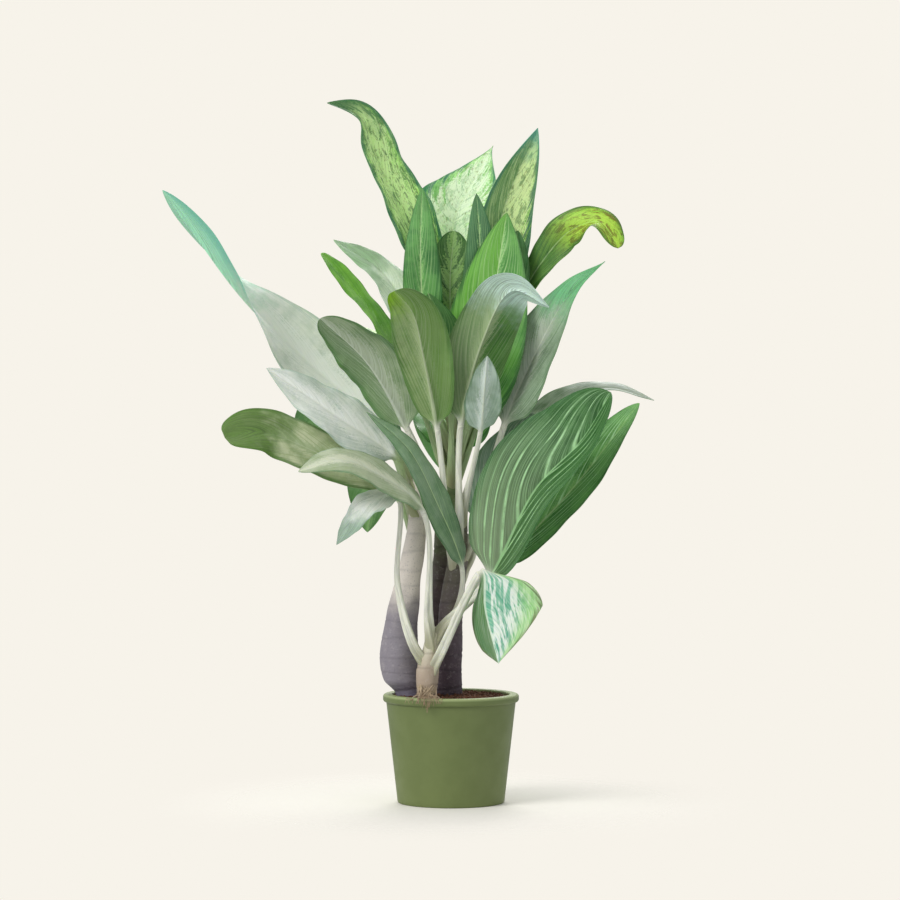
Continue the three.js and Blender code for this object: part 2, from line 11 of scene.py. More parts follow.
import bpy
import numpy as np
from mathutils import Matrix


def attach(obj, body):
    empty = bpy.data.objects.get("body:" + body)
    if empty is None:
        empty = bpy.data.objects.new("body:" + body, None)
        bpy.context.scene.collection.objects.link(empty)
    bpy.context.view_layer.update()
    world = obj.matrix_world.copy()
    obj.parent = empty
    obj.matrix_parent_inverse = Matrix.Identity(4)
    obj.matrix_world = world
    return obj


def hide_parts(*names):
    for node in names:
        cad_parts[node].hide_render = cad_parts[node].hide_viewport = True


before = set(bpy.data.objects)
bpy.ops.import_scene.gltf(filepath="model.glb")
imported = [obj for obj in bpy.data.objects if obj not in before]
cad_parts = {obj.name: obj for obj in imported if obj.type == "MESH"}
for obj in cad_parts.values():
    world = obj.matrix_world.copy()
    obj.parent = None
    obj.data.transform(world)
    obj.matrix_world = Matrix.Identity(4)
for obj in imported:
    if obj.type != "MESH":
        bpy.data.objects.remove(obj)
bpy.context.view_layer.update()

MM = 0.001
SEED = 11
FULL_TURN = 2 * math.pi
NO_TUBE_WAY = (0.13, 0.21, 1.0)  # a direction in which no root runs

# ---------------------------------------------------------------- camera, light and stage

CAMERA_PLACE = (-1.25, -4000, 485)
CAMERA_PITCH = -0.636  # degrees above the horizon
CAMERA_LENS = 128
SENSOR_WIDTH = 36

# Square soft boxes: place and target in metres, size in metres and power in watts.
LIGHTS = {
    "key_box": ((-2.5, -2.2, 2.5), (0, 0, 0.45), 1.8, 93),
    "fill_box": ((2.4, -2.0, 1.3), (0, 0, 0.45), 2.0, 8),
    "back_box": ((0.1, 2.5, 2.5), (0, 0, 0.4), 1.5, 58),
}
WORLD_TONE = (244, 246, 250)
WORLD_STRENGTH = 0.66

BACKDROP = (247, 243, 234)
BACKDROP_RADIUS = 14  # metres
FLOOR_TONE = (239, 235, 226)
FLOOR_RADIUS = 3.2  # metres
FLOOR_FADES = (60, 400)  # from and to these distances from the pot's middle

# ---------------------------------------------------------------- driving dimensions

POT_HEIGHT = 136
POT_BASE_RADIUS = 67
POT_NECK_RADIUS = 81  # of the body, right below the collar
COLLAR_RADIUS = 85
COLLAR_HEIGHT = 10
COLLAR_ROUNDING = 3.5
MOUTH_RADIUS = 73
WALL_THICKNESS = 6
FLOOR_THICKNESS = 9
EDGE_ROUNDING = 2  # of the foot and the mouth
ROUNDING_STEPS = 8
FLOOR_CORNER = 4  # bevel between the wall's inside and the floor
MOUTH_DEPTH = 10  # the mouth goes straight down until this far below the collar
POT_SIDES = 144
POT_RINGS = 24  # of the body

SOIL_TOP = 132.5
SOIL_MOUND = 2.5
SOIL_DEPTH = 14  # of the piece that is seen
SOIL_GAP = 0.5  # between the soil and the pot
SOIL_ROUGHNESS = 0.7
SOIL_SWELL = 0.5
SOIL_SINK = 0.4  # of the rough surface under the even mound
SOIL_RINGS = 44
SOIL_SIDES = 160
CRUMB_COUNT = 420
CRUMB_SIZES = (0.7, 2.3)
CRUMB_LUMPS = (0.7, 1.25)  # how far its corners go in and out, in its own radii
CRUMB_SIDES = 7
CRUMB_TILTS = (-60, -20, 25, 62)  # degrees of the rings of a crumb

CANE_SIDES = 56
CANE_RING_SPACING = 1.8
SCAR_SPACING = 22
SCAR_TILT = 2.2
SCAR_TURN = 2.4  # radians that the tilt turns by from one scar to the next
GROOVE_WIDTH = 1.3
GROOVE_DEPTH = 0.7
LIP_PLACE = 2.6  # from the groove of a scar
LIP_WIDTH = 1.6
LIP_HEIGHT = 0.45

ROOT_STEPS = [(0, 8), (0.3, 7), (0.55, 4.5), (0.8, 1.5), (1, -5)]  # part of its length, height
ROOT_RADIUS = 1.8
ROOTLET_COUNT = 76
ROOTLET_RADII = (0.3, 0.7)
ROOTLET_TURNS = (200, 345)  # degrees, where they leave the shoot
ROOTLET_REACHES = (12, 13.5, 13.5)  # of their starts, from the shoot's middle, in turn
ROOTLET_STARTS = (1, 20)  # above the shoot's foot
ROOTLET_SPREAD = 8  # to the sides
ROOTLET_WANDER = (-5, 5)
ROOTLET_RISE = (1.6, 4.5)  # above the soil's edge
ROOTLET_WAY = ((-60, -54), (-71, -65))  # y of two points on the way to the rim
ROOTLET_HANG = (2, 11, 6)  # least and further drop over the rim, and the breadth of the tuft

BLADE_THICKNESS = 1.0
EDGE_THINNING = 0.45  # of the thickness, at the edge
PETIOLE_RADIUS = 4.2  # of a leaf 100 mm wide, at the blade
SHEATH_RADIUS = 6.5  # where a leaf clasps its cane
SHEATH_RISE = 0.18  # part of the petiole's rise that it makes along the cane
SHEATH_SHARE = 0.7  # part of the petiole over which it narrows
CLASP_DROP = 10  # how far below a leaf's height its sheath starts inside the cane
CLASP_FLARE = 1.4  # the sheath is this much thicker where it leaves the cane
CLASP_LENGTH = (8, 26)  # from and to which length of the petiole the flare fades
CHANNEL = (0.2, 26)  # depth, in the petiole's own radii, and breadth, in degrees
WINGS = (0.22, 15)
WING_PLACE = 48  # degrees from the middle of the channel
WINGS_FROM = (0.6, 0.2)  # parts of the petiole between which they grow, downwards
FLATTENING = 0.1  # part of the blade over which it goes from round to flat
PALE_BASE = 0.07  # part of the blade that the petiole's colour fades out on
WIDEST_AT = 0.5  # exponent of the blade's outline near its base
WAVES = 2.2  # along each edge of a blade
WAVE_PHASES = (0.4, 2.6)  # of the left and the right edge
RIPPLES = 6.3  # smaller waves, along each edge
RIPPLE_SHARE = 0.3  # of the height of the waves
VEIN_SWEEP = 1.4  # exponent of the line that a side vein follows to the edge
QUILT_HEIGHT = 0.011  # of the blade's width, between the side veins
KEEL_DEPTH = 1.2  # of the midrib under the blade, in its own radii
RIB_SINK = 0.35  # of the midrib in the upper face
RIB_TAPER = 0.8
LEAST_HALF = 0.5  # half the width of the blade at its ends

PETIOLE_RINGS = 22
BLADE_RINGS = 92
BLADE_COLUMNS = 27  # an odd number, so that one runs down the midrib
COLUMN_SPACING = 1.15  # exponent that draws the columns together at the midrib

# ---------------------------------------------------------------- canes


@dataclass
class Cane:
    """A cane's line, and its skin from "low" to "high", with a darker foot and spots."""

    node: str
    slot: str
    path: list
    radii: list  # at each point of the path
    skin: dict
    pale_between: tuple  # heights between which the skin turns from low to high
    scar: float  # how plain its leaf scars are
    roots: tuple = ()  # direction in degrees and length of its thick roots over the soil


CANES = {
    "left": Cane(
        "cane_left", "bark_grey",
        path=[(-48, 4, 98), (-53, 4, 136), (-62, 3, 154), (-65, 3, 184), (-61, 3, 235),
              (-51, 3, 290), (-42, 3, 350), (-38, 3, 415)],
        radii=[14, 17, 22.5, 24, 20, 15, 12, 9],
        skin=dict(low=(136, 130, 136), high=(226, 216, 204), spot=(92, 84, 98), foot=(104, 98, 124)),
        pale_between=(215, 290), scar=0.35),
    "right": Cane(
        "cane_right", "bark_dark",
        path=[(-2, 6, 98), (-2, 6, 132), (-2, 6, 180), (0, 6, 240), (8, 4, 300), (12, 2, 360)],
        radii=[15, 16, 16, 15, 13, 9],
        skin=dict(low=(74, 60, 68), high=(104, 100, 84), spot=(124, 108, 112), foot=(60, 50, 58)),
        pale_between=(150, 360), scar=0.7),
    "back": Cane(
        "cane_back", "bark_dark",
        path=[(-14, 42, 98), (-14, 42, 132), (-13, 42, 220), (-8, 42, 330), (4, 40, 430),
              (10, 38, 505)],
        radii=[13, 14, 14, 13, 11, 8],
        skin=dict(low=(86, 72, 72), high=(112, 136, 84), spot=(120, 108, 100), foot=(66, 56, 60)),
        pale_between=(200, 480), scar=0.8),
    "front": Cane(
        "shoot_front", "shoot",
        path=[(-30, -38, 104), (-30, -38, 132), (-29, -38, 165), (-24, -37, 200), (-20, -36, 222)],
        radii=[9, 12, 14, 10, 6],
        skin=dict(low=(176, 158, 138), high=(206, 202, 178), spot=(134, 112, 92),
                  foot=(150, 128, 104)),
        pale_between=(150, 215), scar=0.5, roots=((205, 24), (262, 20), (318, 26))),
}
ROOTLET_SKIN = dict(low=(150, 124, 98), high=(190, 170, 140), spot=(98, 74, 54),
                    foot=(140, 116, 90))
FIBRE_TONE = (206, 200, 196)

# ---------------------------------------------------------------- leaves

# Looks that several leaves share. Colours are 0 to 255, and shares and strengths 0 to 1.
#   main, deep: the green and the darker green of its blotches, and of streaks as plain as "streak"
#   light, reach, ragged: a light middle, as wide as "reach", and how much it frays
#   margin, margin_width: the edge, frayed in the same way
#   veins, vein: how plain the side veins are, and their colour
#   rib, rib_strength: the midrib
#   strokes, ochre: how plain deep, light and ochre strokes are; stripes: and light stripes
#   left, right, painted_half_share: painted light and shade on one half, darker where the half is folded
#       away from the light and paler where it faces it, and how plain it is
#   edge_left: another colour towards the left edge
#   base, base_full, base_until, base_side: another colour near the base, whole up to base_full
#     and gone at base_until, on the left or right side only where base_side is -1 or 1
#   tip, tip_from, tip_side, tip_edge: another colour at the tip, from tip_from on, on one side
#     only where tip_side is given, and tip_edge towards the left edge
#   hidden: the face of the blade that the photograph doesn't show
LIME = dict(
    main=(182, 244, 120), deep=(46, 112, 46), light=(222, 255, 170), reach=0.62, ragged=1.6,
    margin=(20, 108, 84), margin_width=0.12, veins=0.1, vein=(222, 246, 190), rib=(216, 240, 184),
    streak=0.5, strokes=0.8, ochre=(132, 140, 58), rib_strength=0.3)
GREEN = dict(
    main=(84, 146, 62), deep=(40, 98, 36), light=(150, 200, 118), reach=0.05, ragged=0.9,
    margin=(38, 92, 38), margin_width=0.05, veins=0.45, vein=(168, 206, 138), rib=(192, 216, 160),
    streak=0.75)
OLIVE = dict(
    main=(128, 156, 90), deep=(84, 124, 54), light=(160, 178, 130), reach=0.2, ragged=0.7,
    margin=(78, 120, 52), margin_width=0.1, veins=0.4, vein=(178, 194, 152), rib=(184, 196, 158),
    streak=0.7)
GREY = dict(
    main=(144, 160, 132), deep=(98, 124, 90), light=(178, 188, 168), reach=0.3, ragged=0.9,
    margin=(96, 130, 90), margin_width=0.06, veins=0.4, vein=(194, 206, 184), rib=(204, 212, 192),
    streak=0.7, hidden=(112, 150, 96))
FADED = dict(
    main=(226, 231, 220), deep=(176, 192, 176), light=(244, 246, 238), reach=0.4, ragged=1.2,
    margin=(178, 198, 182), margin_width=0.05, veins=0.35, vein=(246, 248, 242),
    rib=(244, 246, 236), streak=0.7, hidden=(146, 178, 128))

PETIOLE_TONES = {"right": (232, 232, 214), "front": (232, 232, 214),
                 "left": (178, 200, 148), "back": (178, 200, 148)}
SHEATH_TONE = (158, 156, 120)


@dataclass
class Leaf:
    """A leaf's place, shape and look. Its left and right are those of its upper face, tip up."""

    node: str
    cane: str
    height: float  # at which it leaves its cane
    slot: str
    width: float
    path: list  # the midrib, from the base of the blade to the tip
    face: tuple  # where the upper face looks at the base
    look: dict
    tip_face: tuple = None  # and at the tip, where it isn't the same
    via: tuple = ()  # points of the petiole before the blade
    fold: tuple = (15, 15)  # degrees that the left and the right half are raised by
    curl: float = 8  # drop of the edges
    wave: float = 2  # height of the waves in the edges
    taper: float = 0.8  # how early the blade gets narrow
    lean: float = 0.6  # how far the side veins sweep towards the tip
    count: int = 10  # of side veins, on each side

    def __post_init__(self):
        self.tip_face = self.tip_face or self.face


LEAVES = [
    Leaf("leaf_top_left", "back", 472, "leaf_lime", 94,
         [(-22, 34, 628), (-47, 34, 704), (-90, 33, 796), (-113, 26, 857), (-155, 10, 875)],
         face=(0.75, -0.65, 0.2), tip_face=(0.35, -0.55, 0.8), fold=(30, 30), wave=3, taper=0.75,
         lean=0.55, count=11,
         look=dict(LIME, tip=(54, 112, 62), tip_from=0.84)),
    Leaf("leaf_top_centre", "back", 500, "leaf_lime", 128,
         [(6, 62, 676), (3, 90, 728), (24, 134, 777), (55, 188, 836)], face=(0.05, -0.85, 0.5),
         tip_face=(-0.2, -0.8, 0.5), fold=(10, 25), curl=5, taper=1.35, lean=0.35, count=12,
         look=dict(LIME, main=(180, 240, 144), light=(240, 255, 222), reach=0.6, deep=(68, 150, 62),
                   ragged=2.2, strokes=0.38)),
    Leaf("leaf_top_right", "back", 464, "leaf_lime", 84, [(52, 38, 628), (64, 46, 736), (110, 60, 848)],
         face=(0.15, -1, 0.25), tip_face=(0.3, -0.9, 0.2), fold=(45, 5), curl=5, taper=0.9, lean=0.5,
         count=11,
         look=dict(LIME, main=(192, 252, 128), light=(234, 255, 180), reach=0.9, strokes=0.6,
                   # Painted shade: the raised left half is dark green.
                   left=(62, 128, 56), tip=(88, 184, 160), tip_from=0.88)),
    Leaf("leaf_right_arching", "back", 386, "leaf_lime", 54,
         [(84, 32, 622), (115, 14, 677), (150, -4, 715), (185, -28, 723), (206, -52, 690)],
         face=(-0.45, -0.6, 0.7), tip_face=(0.6, -0.75, 0.3), fold=(30, 20), curl=6, taper=0.4, lean=0.7,
         look=dict(LIME, main=(146, 202, 56), deep=(104, 92, 24), light=(178, 218, 74),
                   base=(40, 100, 52), base_until=0.66, base_full=0.36, margin=(40, 96, 40),
                   margin_width=0.14, veins=0.0, vein=(170, 210, 90), ochre=(122, 86, 20))),
    Leaf("leaf_upper_left_dark", "back", 439, "leaf_green", 52,
         [(-30, 8, 552), (-38, -4, 680), (-36, 4, 768)], face=(-0.1, -1, 0.2), fold=(30, 5), lean=0.7,
         count=9,
         look=dict(GREEN, main=(104, 168, 86), deep=(40, 104, 50), veins=0.7)),
    Leaf("leaf_centre_bright", "back", 424, "leaf_bright", 108,
         [(20, 4, 468), (48, -8, 602), (70, 14, 738)], face=(0, -1, 0.1), tip_face=(0.1, -0.8, 0.6),
         fold=(12, 25), curl=6, wave=3, taper=0.85, count=12,
         look=dict(GREEN, main=(98, 164, 66), deep=(50, 120, 44), veins=0.75, left=(116, 184, 66))),
    Leaf("leaf_centre_hooked", "back", 398, "leaf_bright", 60,
         [(0, -22, 500), (-5, -42, 576), (-28, -72, 634)], face=(0.25, 0.9, 0.4),
         look=dict(GREEN, main=(98, 148, 84), deep=(66, 120, 66), veins=0.5)),
    Leaf("leaf_left_narrow", "back", 409, "leaf_bright", 52,
         [(-45, 8, 513), (-94, 2, 604), (-162, -8, 686)], face=(0.7, -0.4, 0.6),
         tip_face=(0.6, -0.5, 0.7), curl=3, taper=0.45, lean=0.7, count=9,
         look=dict(GREEN, main=(132, 196, 60), deep=(72, 142, 34), base=(160, 178, 132), veins=0.0,
                   rib=(130, 186, 76), margin_width=0.0)),
    Leaf("leaf_left_behind", "back", 421, "leaf_green", 66,
         [(-38, 50, 572), (-84, 74, 662), (-150, 90, 708)], face=(0.4, -0.6, 0.7), fold=(20, 20),
         lean=0.5,
         look=dict(FADED, tip=(150, 186, 140), tip_from=0.6)),
    Leaf("leaf_mottled_centre", "back", 456, "leaf_green", 58,
         [(0, 18, 590), (-1, 20, 656), (4, 32, 716)], face=(0, -1, 0.1), tip_face=(0, -1, 0.3), curl=6,
         taper=0.5, lean=0.4, count=8,
         look=dict(GREEN, main=(66, 112, 46), deep=(44, 84, 36), light=(156, 198, 112), reach=0.35,
                   ragged=2.2)),
    Leaf("leaf_behind_bright", "back", 446, "leaf_veined", 62,
         [(44, 18, 556), (70, 14, 640), (84, 22, 716)], face=(0, -1, 0.1), tip_face=(0.2, -0.9, 0.3),
         fold=(10, 25), curl=6, taper=0.7,
         look=dict(GREEN, main=(88, 150, 84), veins=0.55)),
    Leaf("leaf_narrow_teal", "back", 490, "leaf_teal", 42, [(28, 10, 600), (36, 8, 690), (32, 16, 762)],
         face=(0, -1, 0.1), tip_face=(0, -1, 0.2), fold=(25, 10), curl=5, wave=1.5, lean=0.7, count=8,
         look=dict(GREEN, main=(72, 124, 78), deep=(52, 98, 64))),
    Leaf("leaf_front_centre", "right", 290, "leaf_olive", 74,
         [(-17, -50, 468), (-33, -86, 555), (-47, -118, 610), (-68, -140, 634)], face=(0.25, 0.95, 0.35),
         tip_face=(0.0, 0.6, 0.9), fold=(18, 18), taper=0.42, lean=0.9,
         # Painted highlight: lime light on one side of the arched tip.
         look=dict(OLIVE, main=(136, 158, 102), tip=(154, 210, 30), tip_from=0.82, tip_side=1,
                   left=(98, 140, 56))),
    Leaf("leaf_front_right", "right", 318, "leaf_olive", 84,
         [(12, -45, 472), (38, -82, 576), (74, -122, 636), (118, -150, 614)], face=(-0.45, 0.75, 0.5),
         tip_face=(0.3, 0.3, 0.9), fold=(10, 30), taper=0.7, lean=0.7,
         look=dict(OLIVE, main=(90, 140, 62), deep=(56, 104, 40), tip=(228, 255, 240), tip_from=0.66,
                   right=(142, 166, 116))),
    Leaf("leaf_mid_left", "right", 334, "leaf_grey", 96,
         [(-54, -22, 466), (-103, -46, 550), (-160, -72, 603)], face=(0.35, 0.7, 0.6), fold=(12, 18),
         wave=3, taper=0.55, lean=0.8,
         look=dict(GREY, main=(150, 166, 130), deep=(106, 134, 86), light=(172, 182, 156),
                   margin=(70, 116, 54), margin_width=0.14, right=(100, 132, 80))),
    Leaf("leaf_right_folded", "right", 302, "leaf_grey", 90,
         [(66, -2, 470), (110, -14, 570), (151, -22, 641), (191, -26, 675)], face=(-0.35, -0.9, 0.3),
         tip_face=(-0.6, -0.75, 0.3), fold=(20, 30), taper=1.25, lean=0.5, count=12,
         look=dict(GREY, main=(152, 176, 144), tip=(112, 194, 130), tip_from=0.66)),
    Leaf("leaf_inner_right", "right", 352, "leaf_grey", 48,
         [(36, -70, 464), (40, -96, 512), (44, -112, 556)], face=(-0.2, 0.95, 0.3), curl=6, lean=0.7,
         count=9,
         look=dict(GREY, main=(182, 200, 184), deep=(126, 156, 126), light=(212, 222, 212))),
    Leaf("leaf_left_rising", "right", 234, "leaf_teal", 48,
         [(14, -26, 292), (-19, -54, 379), (-53, -64, 443), (-104, -58, 488)], face=(0.55, -0.75, 0.3),
         tip_face=(0.3, -0.6, 0.7), fold=(20, 20), lean=0.8, count=9,
         look=dict(GREEN, main=(134, 156, 128), deep=(90, 124, 90), reach=0.0, veins=0.3)),
    Leaf("leaf_right_behind", "right", 252, "leaf_green", 84,
         [(58, -6, 294), (148, -12, 388), (234, -24, 499)], face=(-0.6, -0.75, 0.3), fold=(20, 26),
         curl=6, taper=0.72, lean=0.9, count=8,
         look=dict(GREEN, main=(116, 176, 92), deep=(58, 120, 48), veins=0.95, vein=(190, 232, 176))),
    Leaf("leaf_right_top_behind", "right", 262, "leaf_grey", 70,
         [(50, 52, 405), (129, 64, 493), (196, 62, 518), (257, 50, 503)], face=(-0.25, -0.35, 0.9),
         tip_face=(0.1, -0.3, 0.95), fold=(20, 20), curl=6, taper=0.9, lean=0.4, count=11,
         look=dict(GREY, main=(186, 196, 180))),
    Leaf("leaf_striped_behind", "right", 292, "leaf_veined", 80,
         [(38, 22, 344), (64, 26, 414), (104, 22, 486)], face=(-0.4, -0.9, 0.2),
         tip_face=(-0.3, -0.9, 0.4), fold=(20, 15), curl=6, taper=0.7, lean=0.5,
         look=dict(GREY, main=(122, 148, 124), deep=(96, 124, 100), reach=0.0, veins=0.7)),
    Leaf("leaf_far_left", "left", 400, "leaf_faded", 114,
         [(-80, 24, 464), (-176, 30, 547), (-260, 12, 632), (-318, -2, 708), (-359, -14, 764)],
         face=(0.5, -1.6, 0.5), tip_face=(0.62, 0.85, 0.55), fold=(16, 18), curl=2, lean=0.8, count=14,
         look=dict(FADED, main=(238, 240, 230), deep=(196, 206, 192), tip=(168, 238, 196),
                   tip_edge=(92, 172, 150), tip_from=0.6, veins=0.15)),
    Leaf("leaf_left_broad", "left", 384, "leaf_faded", 84,
         [(-68, -10, 428), (-144, -36, 484), (-227, -60, 542)], face=(0.3, -0.7, 0.65), wave=3, lean=0.5,
         count=12,
         look=FADED),
    Leaf("leaf_left_low", "left", 366, "leaf_olive", 78,
         [(-68, -34, 392), (-158, -68, 435), (-232, -102, 464), (-274, -124, 457)],
         face=(0.25, -0.75, 0.6), tip_face=(-0.1, -0.75, 0.6), taper=0.3, count=12,
         look=dict(OLIVE, main=(206, 210, 172), deep=(128, 152, 94), tip=(88, 126, 44), tip_from=0.68,
                   veins=0.55)),
    Leaf("leaf_front_left_low", "front", 200, "leaf_grey", 66,
         [(-34, -78, 365), (-89, -106, 412), (-135, -124, 430), (-184, -140, 416)],
         face=(0.2, -0.5, 0.85), tip_face=(-0.2, -0.6, 0.75), taper=0.7,
         look=dict(GREY, main=(182, 190, 160), deep=(138, 156, 112), light=(212, 214, 190))),
    Leaf("leaf_drooping_left", "front", 180, "leaf_faded", 50,
         [(-66, -72, 386), (-102, -98, 376), (-139, -116, 327)], face=(-0.35, -0.7, 0.6),
         tip_face=(-0.7, -0.6, 0.3), via=[(-66, -50, 275)],
         look=dict(FADED, main=(218, 220, 210), tip=(142, 172, 146), tip_from=0.62)),
    Leaf("leaf_right_big", "front", 212, "leaf_veined", 150,
         [(46, -54, 280), (104, -78, 393), (160, -90, 454), (195, -100, 512)], face=(-0.3, -0.95, 0.15),
         tip_face=(-0.2, -0.9, 0.4), fold=(4, 54), curl=6, wave=3, taper=0.5, lean=0.95, count=5,
         look=dict(GREEN, main=(52, 108, 40), deep=(24, 76, 20), reach=0.0, veins=0.95,
                   vein=(172, 216, 158), rib=(160, 206, 146), base=(128, 144, 112), base_until=0.85,
                   # Painted shade: the steeply folded right half is dark.
                   base_side=-1, right=(22, 84, 16))),
    Leaf("leaf_right_hanging", "front", 166, "leaf_mint", 146,
         [(38, -98, 292), (41, -122, 250), (57, -160, 186)], face=(0.05, -0.9, 0.3),
         tip_face=(0.05, -0.95, 0.3), fold=(-8, -82), curl=3, wave=1.5, taper=1.1, lean=1.0, count=8,
         look=dict(main=(116, 188, 150), deep=(84, 160, 128), light=(236, 244, 230), reach=0.0,
                   ragged=0.8, margin=(104, 104, 56), margin_width=0.04, veins=0.3, vein=(236, 244, 232),
                   # Painted shade: the right half, folded down, is solid dark green.
                   rib=(214, 232, 206), streak=0.4, stripes=0.95, right=(58, 118, 28), painted_half_share=1.3,
                   edge_left=(170, 222, 130))),
    Leaf("leaf_back_high", "back", 464, "leaf_green", 104,
         [(12, 95, 590), (20, 160, 660), (22, 235, 650), (20, 290, 590)], face=(0, -0.3, 1),
         tip_face=(0, 0.6, 0.8), fold=(18, 18), wave=3, lean=0.4, count=13,
         look=dict(GREEN, reach=0.5)),
    Leaf("leaf_back_left_high", "back", 448, "leaf_lime", 104,
         [(-40, 95, 520), (-80, 150, 585), (-110, 205, 580), (-135, 250, 530)], face=(0.3, -0.2, 1),
         tip_face=(-0.3, 0.4, 0.8), fold=(18, 18), wave=3, lean=0.4, count=13,
         look=LIME),
    Leaf("leaf_back_right_high", "back", 440, "leaf_green", 104,
         [(50, 90, 510), (78, 145, 575), (92, 205, 572), (100, 255, 520)], face=(-0.3, -0.2, 1),
         tip_face=(0.3, 0.4, 0.8), fold=(18, 18), wave=3, lean=0.4, count=13,
         look=dict(GREEN, reach=0.55, light=(184, 216, 140))),
    Leaf("leaf_back_low", "back", 380, "leaf_green", 110,
         [(5, 105, 430), (0, 180, 480), (-8, 250, 468), (-12, 305, 410)], face=(0, -0.3, 1),
         tip_face=(0, 0.6, 0.8), fold=(18, 18), wave=3, lean=0.4, count=13,
         look=dict(GREEN, reach=0.4)),
    Leaf("leaf_back_left_low", "left", 350, "leaf_green", 108,
         [(-75, 60, 440), (-125, 115, 490), (-165, 165, 480), (-195, 210, 425)], face=(0.4, -0.2, 1),
         tip_face=(-0.4, 0.5, 0.8), fold=(18, 18), wave=3, lean=0.4, count=13,
         look=dict(GREEN, reach=0.55)),
    Leaf("leaf_back_right_low", "back", 360, "leaf_veined", 108,
         [(55, 85, 400), (98, 130, 445), (130, 175, 440), (150, 215, 395)], face=(-0.4, -0.2, 1),
         tip_face=(0.4, 0.5, 0.8), fold=(18, 18), wave=3, lean=0.42, count=13,
         look=dict(GREEN, veins=0.9, reach=0.0)),
    Leaf("leaf_back_left_lowest", "left", 332, "leaf_green", 92,
         [(-65, 65, 375), (-85, 125, 400), (-100, 180, 380), (-110, 215, 330)], face=(0.3, -0.3, 1),
         tip_face=(-0.3, 0.6, 0.7), fold=(18, 18), wave=3, lean=0.4, count=12,
         look=dict(GREEN, reach=0.45)),
]

# ---------------------------------------------------------------- lines and meshes


def unit(vectors):
    """Vectors, in rows, made one long."""
    return vectors / np.linalg.norm(vectors, axis=-1, keepdims=True)


def smooth(value, low, high):
    """0 below low, 1 above high and a smooth step between."""
    share = np.clip((value - low) / (high - low), 0, 1)
    return share * share * (3 - 2 * share)


def bell(value, breadth):
    """1 where value is 0, falling off on both sides."""
    return np.exp(-(value / breadth) ** 2)


def circle(sides):
    """Level directions that are evenly spread round Z, and their angles."""
    angles = np.linspace(0, FULL_TURN, sides, endpoint=False)
    return np.stack([np.cos(angles), np.sin(angles), np.zeros(sides)], axis=1), angles


class SmoothLine:
    """A centripetal Catmull-Rom curve through points."""

    divisions = 400
    step = 1e-4  # for the tangent

    def __init__(self, points):
        points = np.array(points, float)
        self.spans = len(points) - 1
        self.points = np.vstack([2 * points[0] - points[1], points, 2 * points[-1] - points[-2]])
        self.shares = np.linspace(0, 1, self.divisions + 1)
        steps = np.linalg.norm(np.diff(self.point(self.shares), axis=0), axis=1)
        self.lengths = np.concatenate([[0], np.cumsum(steps)])

    def point(self, share):
        place = np.clip(np.atleast_1d(share), 0, 1) * self.spans
        span = np.minimum(place.astype(int), self.spans - 1)
        t = (place - span)[:, None]
        before, start, end, after = (self.points[span + i] for i in range(4))
        knots = [np.sqrt(np.linalg.norm(b - a, axis=1))[:, None]
                 for a, b in ((before, start), (start, end), (end, after))]
        leaving = (start - before) / knots[0] - (end - before) / (knots[0] + knots[1])
        leaving = (leaving + (end - start) / knots[1]) * knots[1]
        arriving = (end - start) / knots[1] - (after - start) / (knots[1] + knots[2])
        arriving = (arriving + (after - end) / knots[2]) * knots[1]
        square = -3 * start + 3 * end - 2 * leaving - arriving
        cube = 2 * start - 2 * end + leaving + arriving
        return start + leaving * t + square * t ** 2 + cube * t ** 3

    def tangent(self, share):
        share = np.atleast_1d(share)
        return unit(self.point(share + self.step) - self.point(share - self.step))

    def share_at_length(self, part):
        """The shares at which parts of the whole length, from 0 to 1, are reached."""
        return np.interp(np.asarray(part) * self.lengths[-1], self.lengths, self.shares)


def skin(rings):
    """Points and faces round a row of rings, each end closed round a middle point."""
    count, size = len(rings), len(rings[0])
    start, end, last = count * size, count * size + 1, (count - 1) * size
    ahead = [(j + 1) % size for j in range(size)]
    faces = [(i + j, i + ahead[j], i + size + ahead[j], i + size + j)
             for i in range(0, last, size) for j in range(size)]
    faces += [(start, ahead[j], j) for j in range(size)]
    faces += [(end, last + j, last + ahead[j]) for j in range(size)]
    return np.vstack([rings.reshape(-1, 3), rings[0].mean(0), rings[-1].mean(0)]), faces


def join(parts):
    """The points and faces of several parts as those of one mesh."""
    points, faces, first = [], [], 0
    for part_points, part_faces in parts:
        points.append(part_points)
        faces += [tuple(first + corner for corner in face) for face in part_faces]
        first += len(part_points)
    return np.vstack(points), faces


def turn_profile(profile, sides):
    """Points and faces of a closed outline, on the axis at both ends, turned about Z."""
    directions, _ = circle(sides)
    inner = np.array(profile[1:-1], float)
    rings = inner[:, 0, None, None] * directions + np.array([0, 0, 1]) * inner[:, 1, None, None]
    points, faces = skin(rings)
    points[-2] = (0, 0, profile[0][1])
    points[-1] = (0, 0, profile[-1][1])
    return points, faces


def tube(points, radii, sides):
    """Points and faces of a round tube along a smooth line, with radii evenly along it."""
    line = SmoothLine(points)
    shares = line.share_at_length(np.linspace(0, 1, len(radii)))
    tangents = line.tangent(shares)
    across = unit(np.cross(tangents, NO_TUBE_WAY) + 1e-9)
    above = np.cross(across, tangents)
    angles = circle(sides)[1][None, :, None]
    out = np.cos(angles) * above[:, None] + np.sin(angles) * across[:, None]
    return skin(line.point(shares)[:, None] + out * np.asarray(radii)[:, None, None])


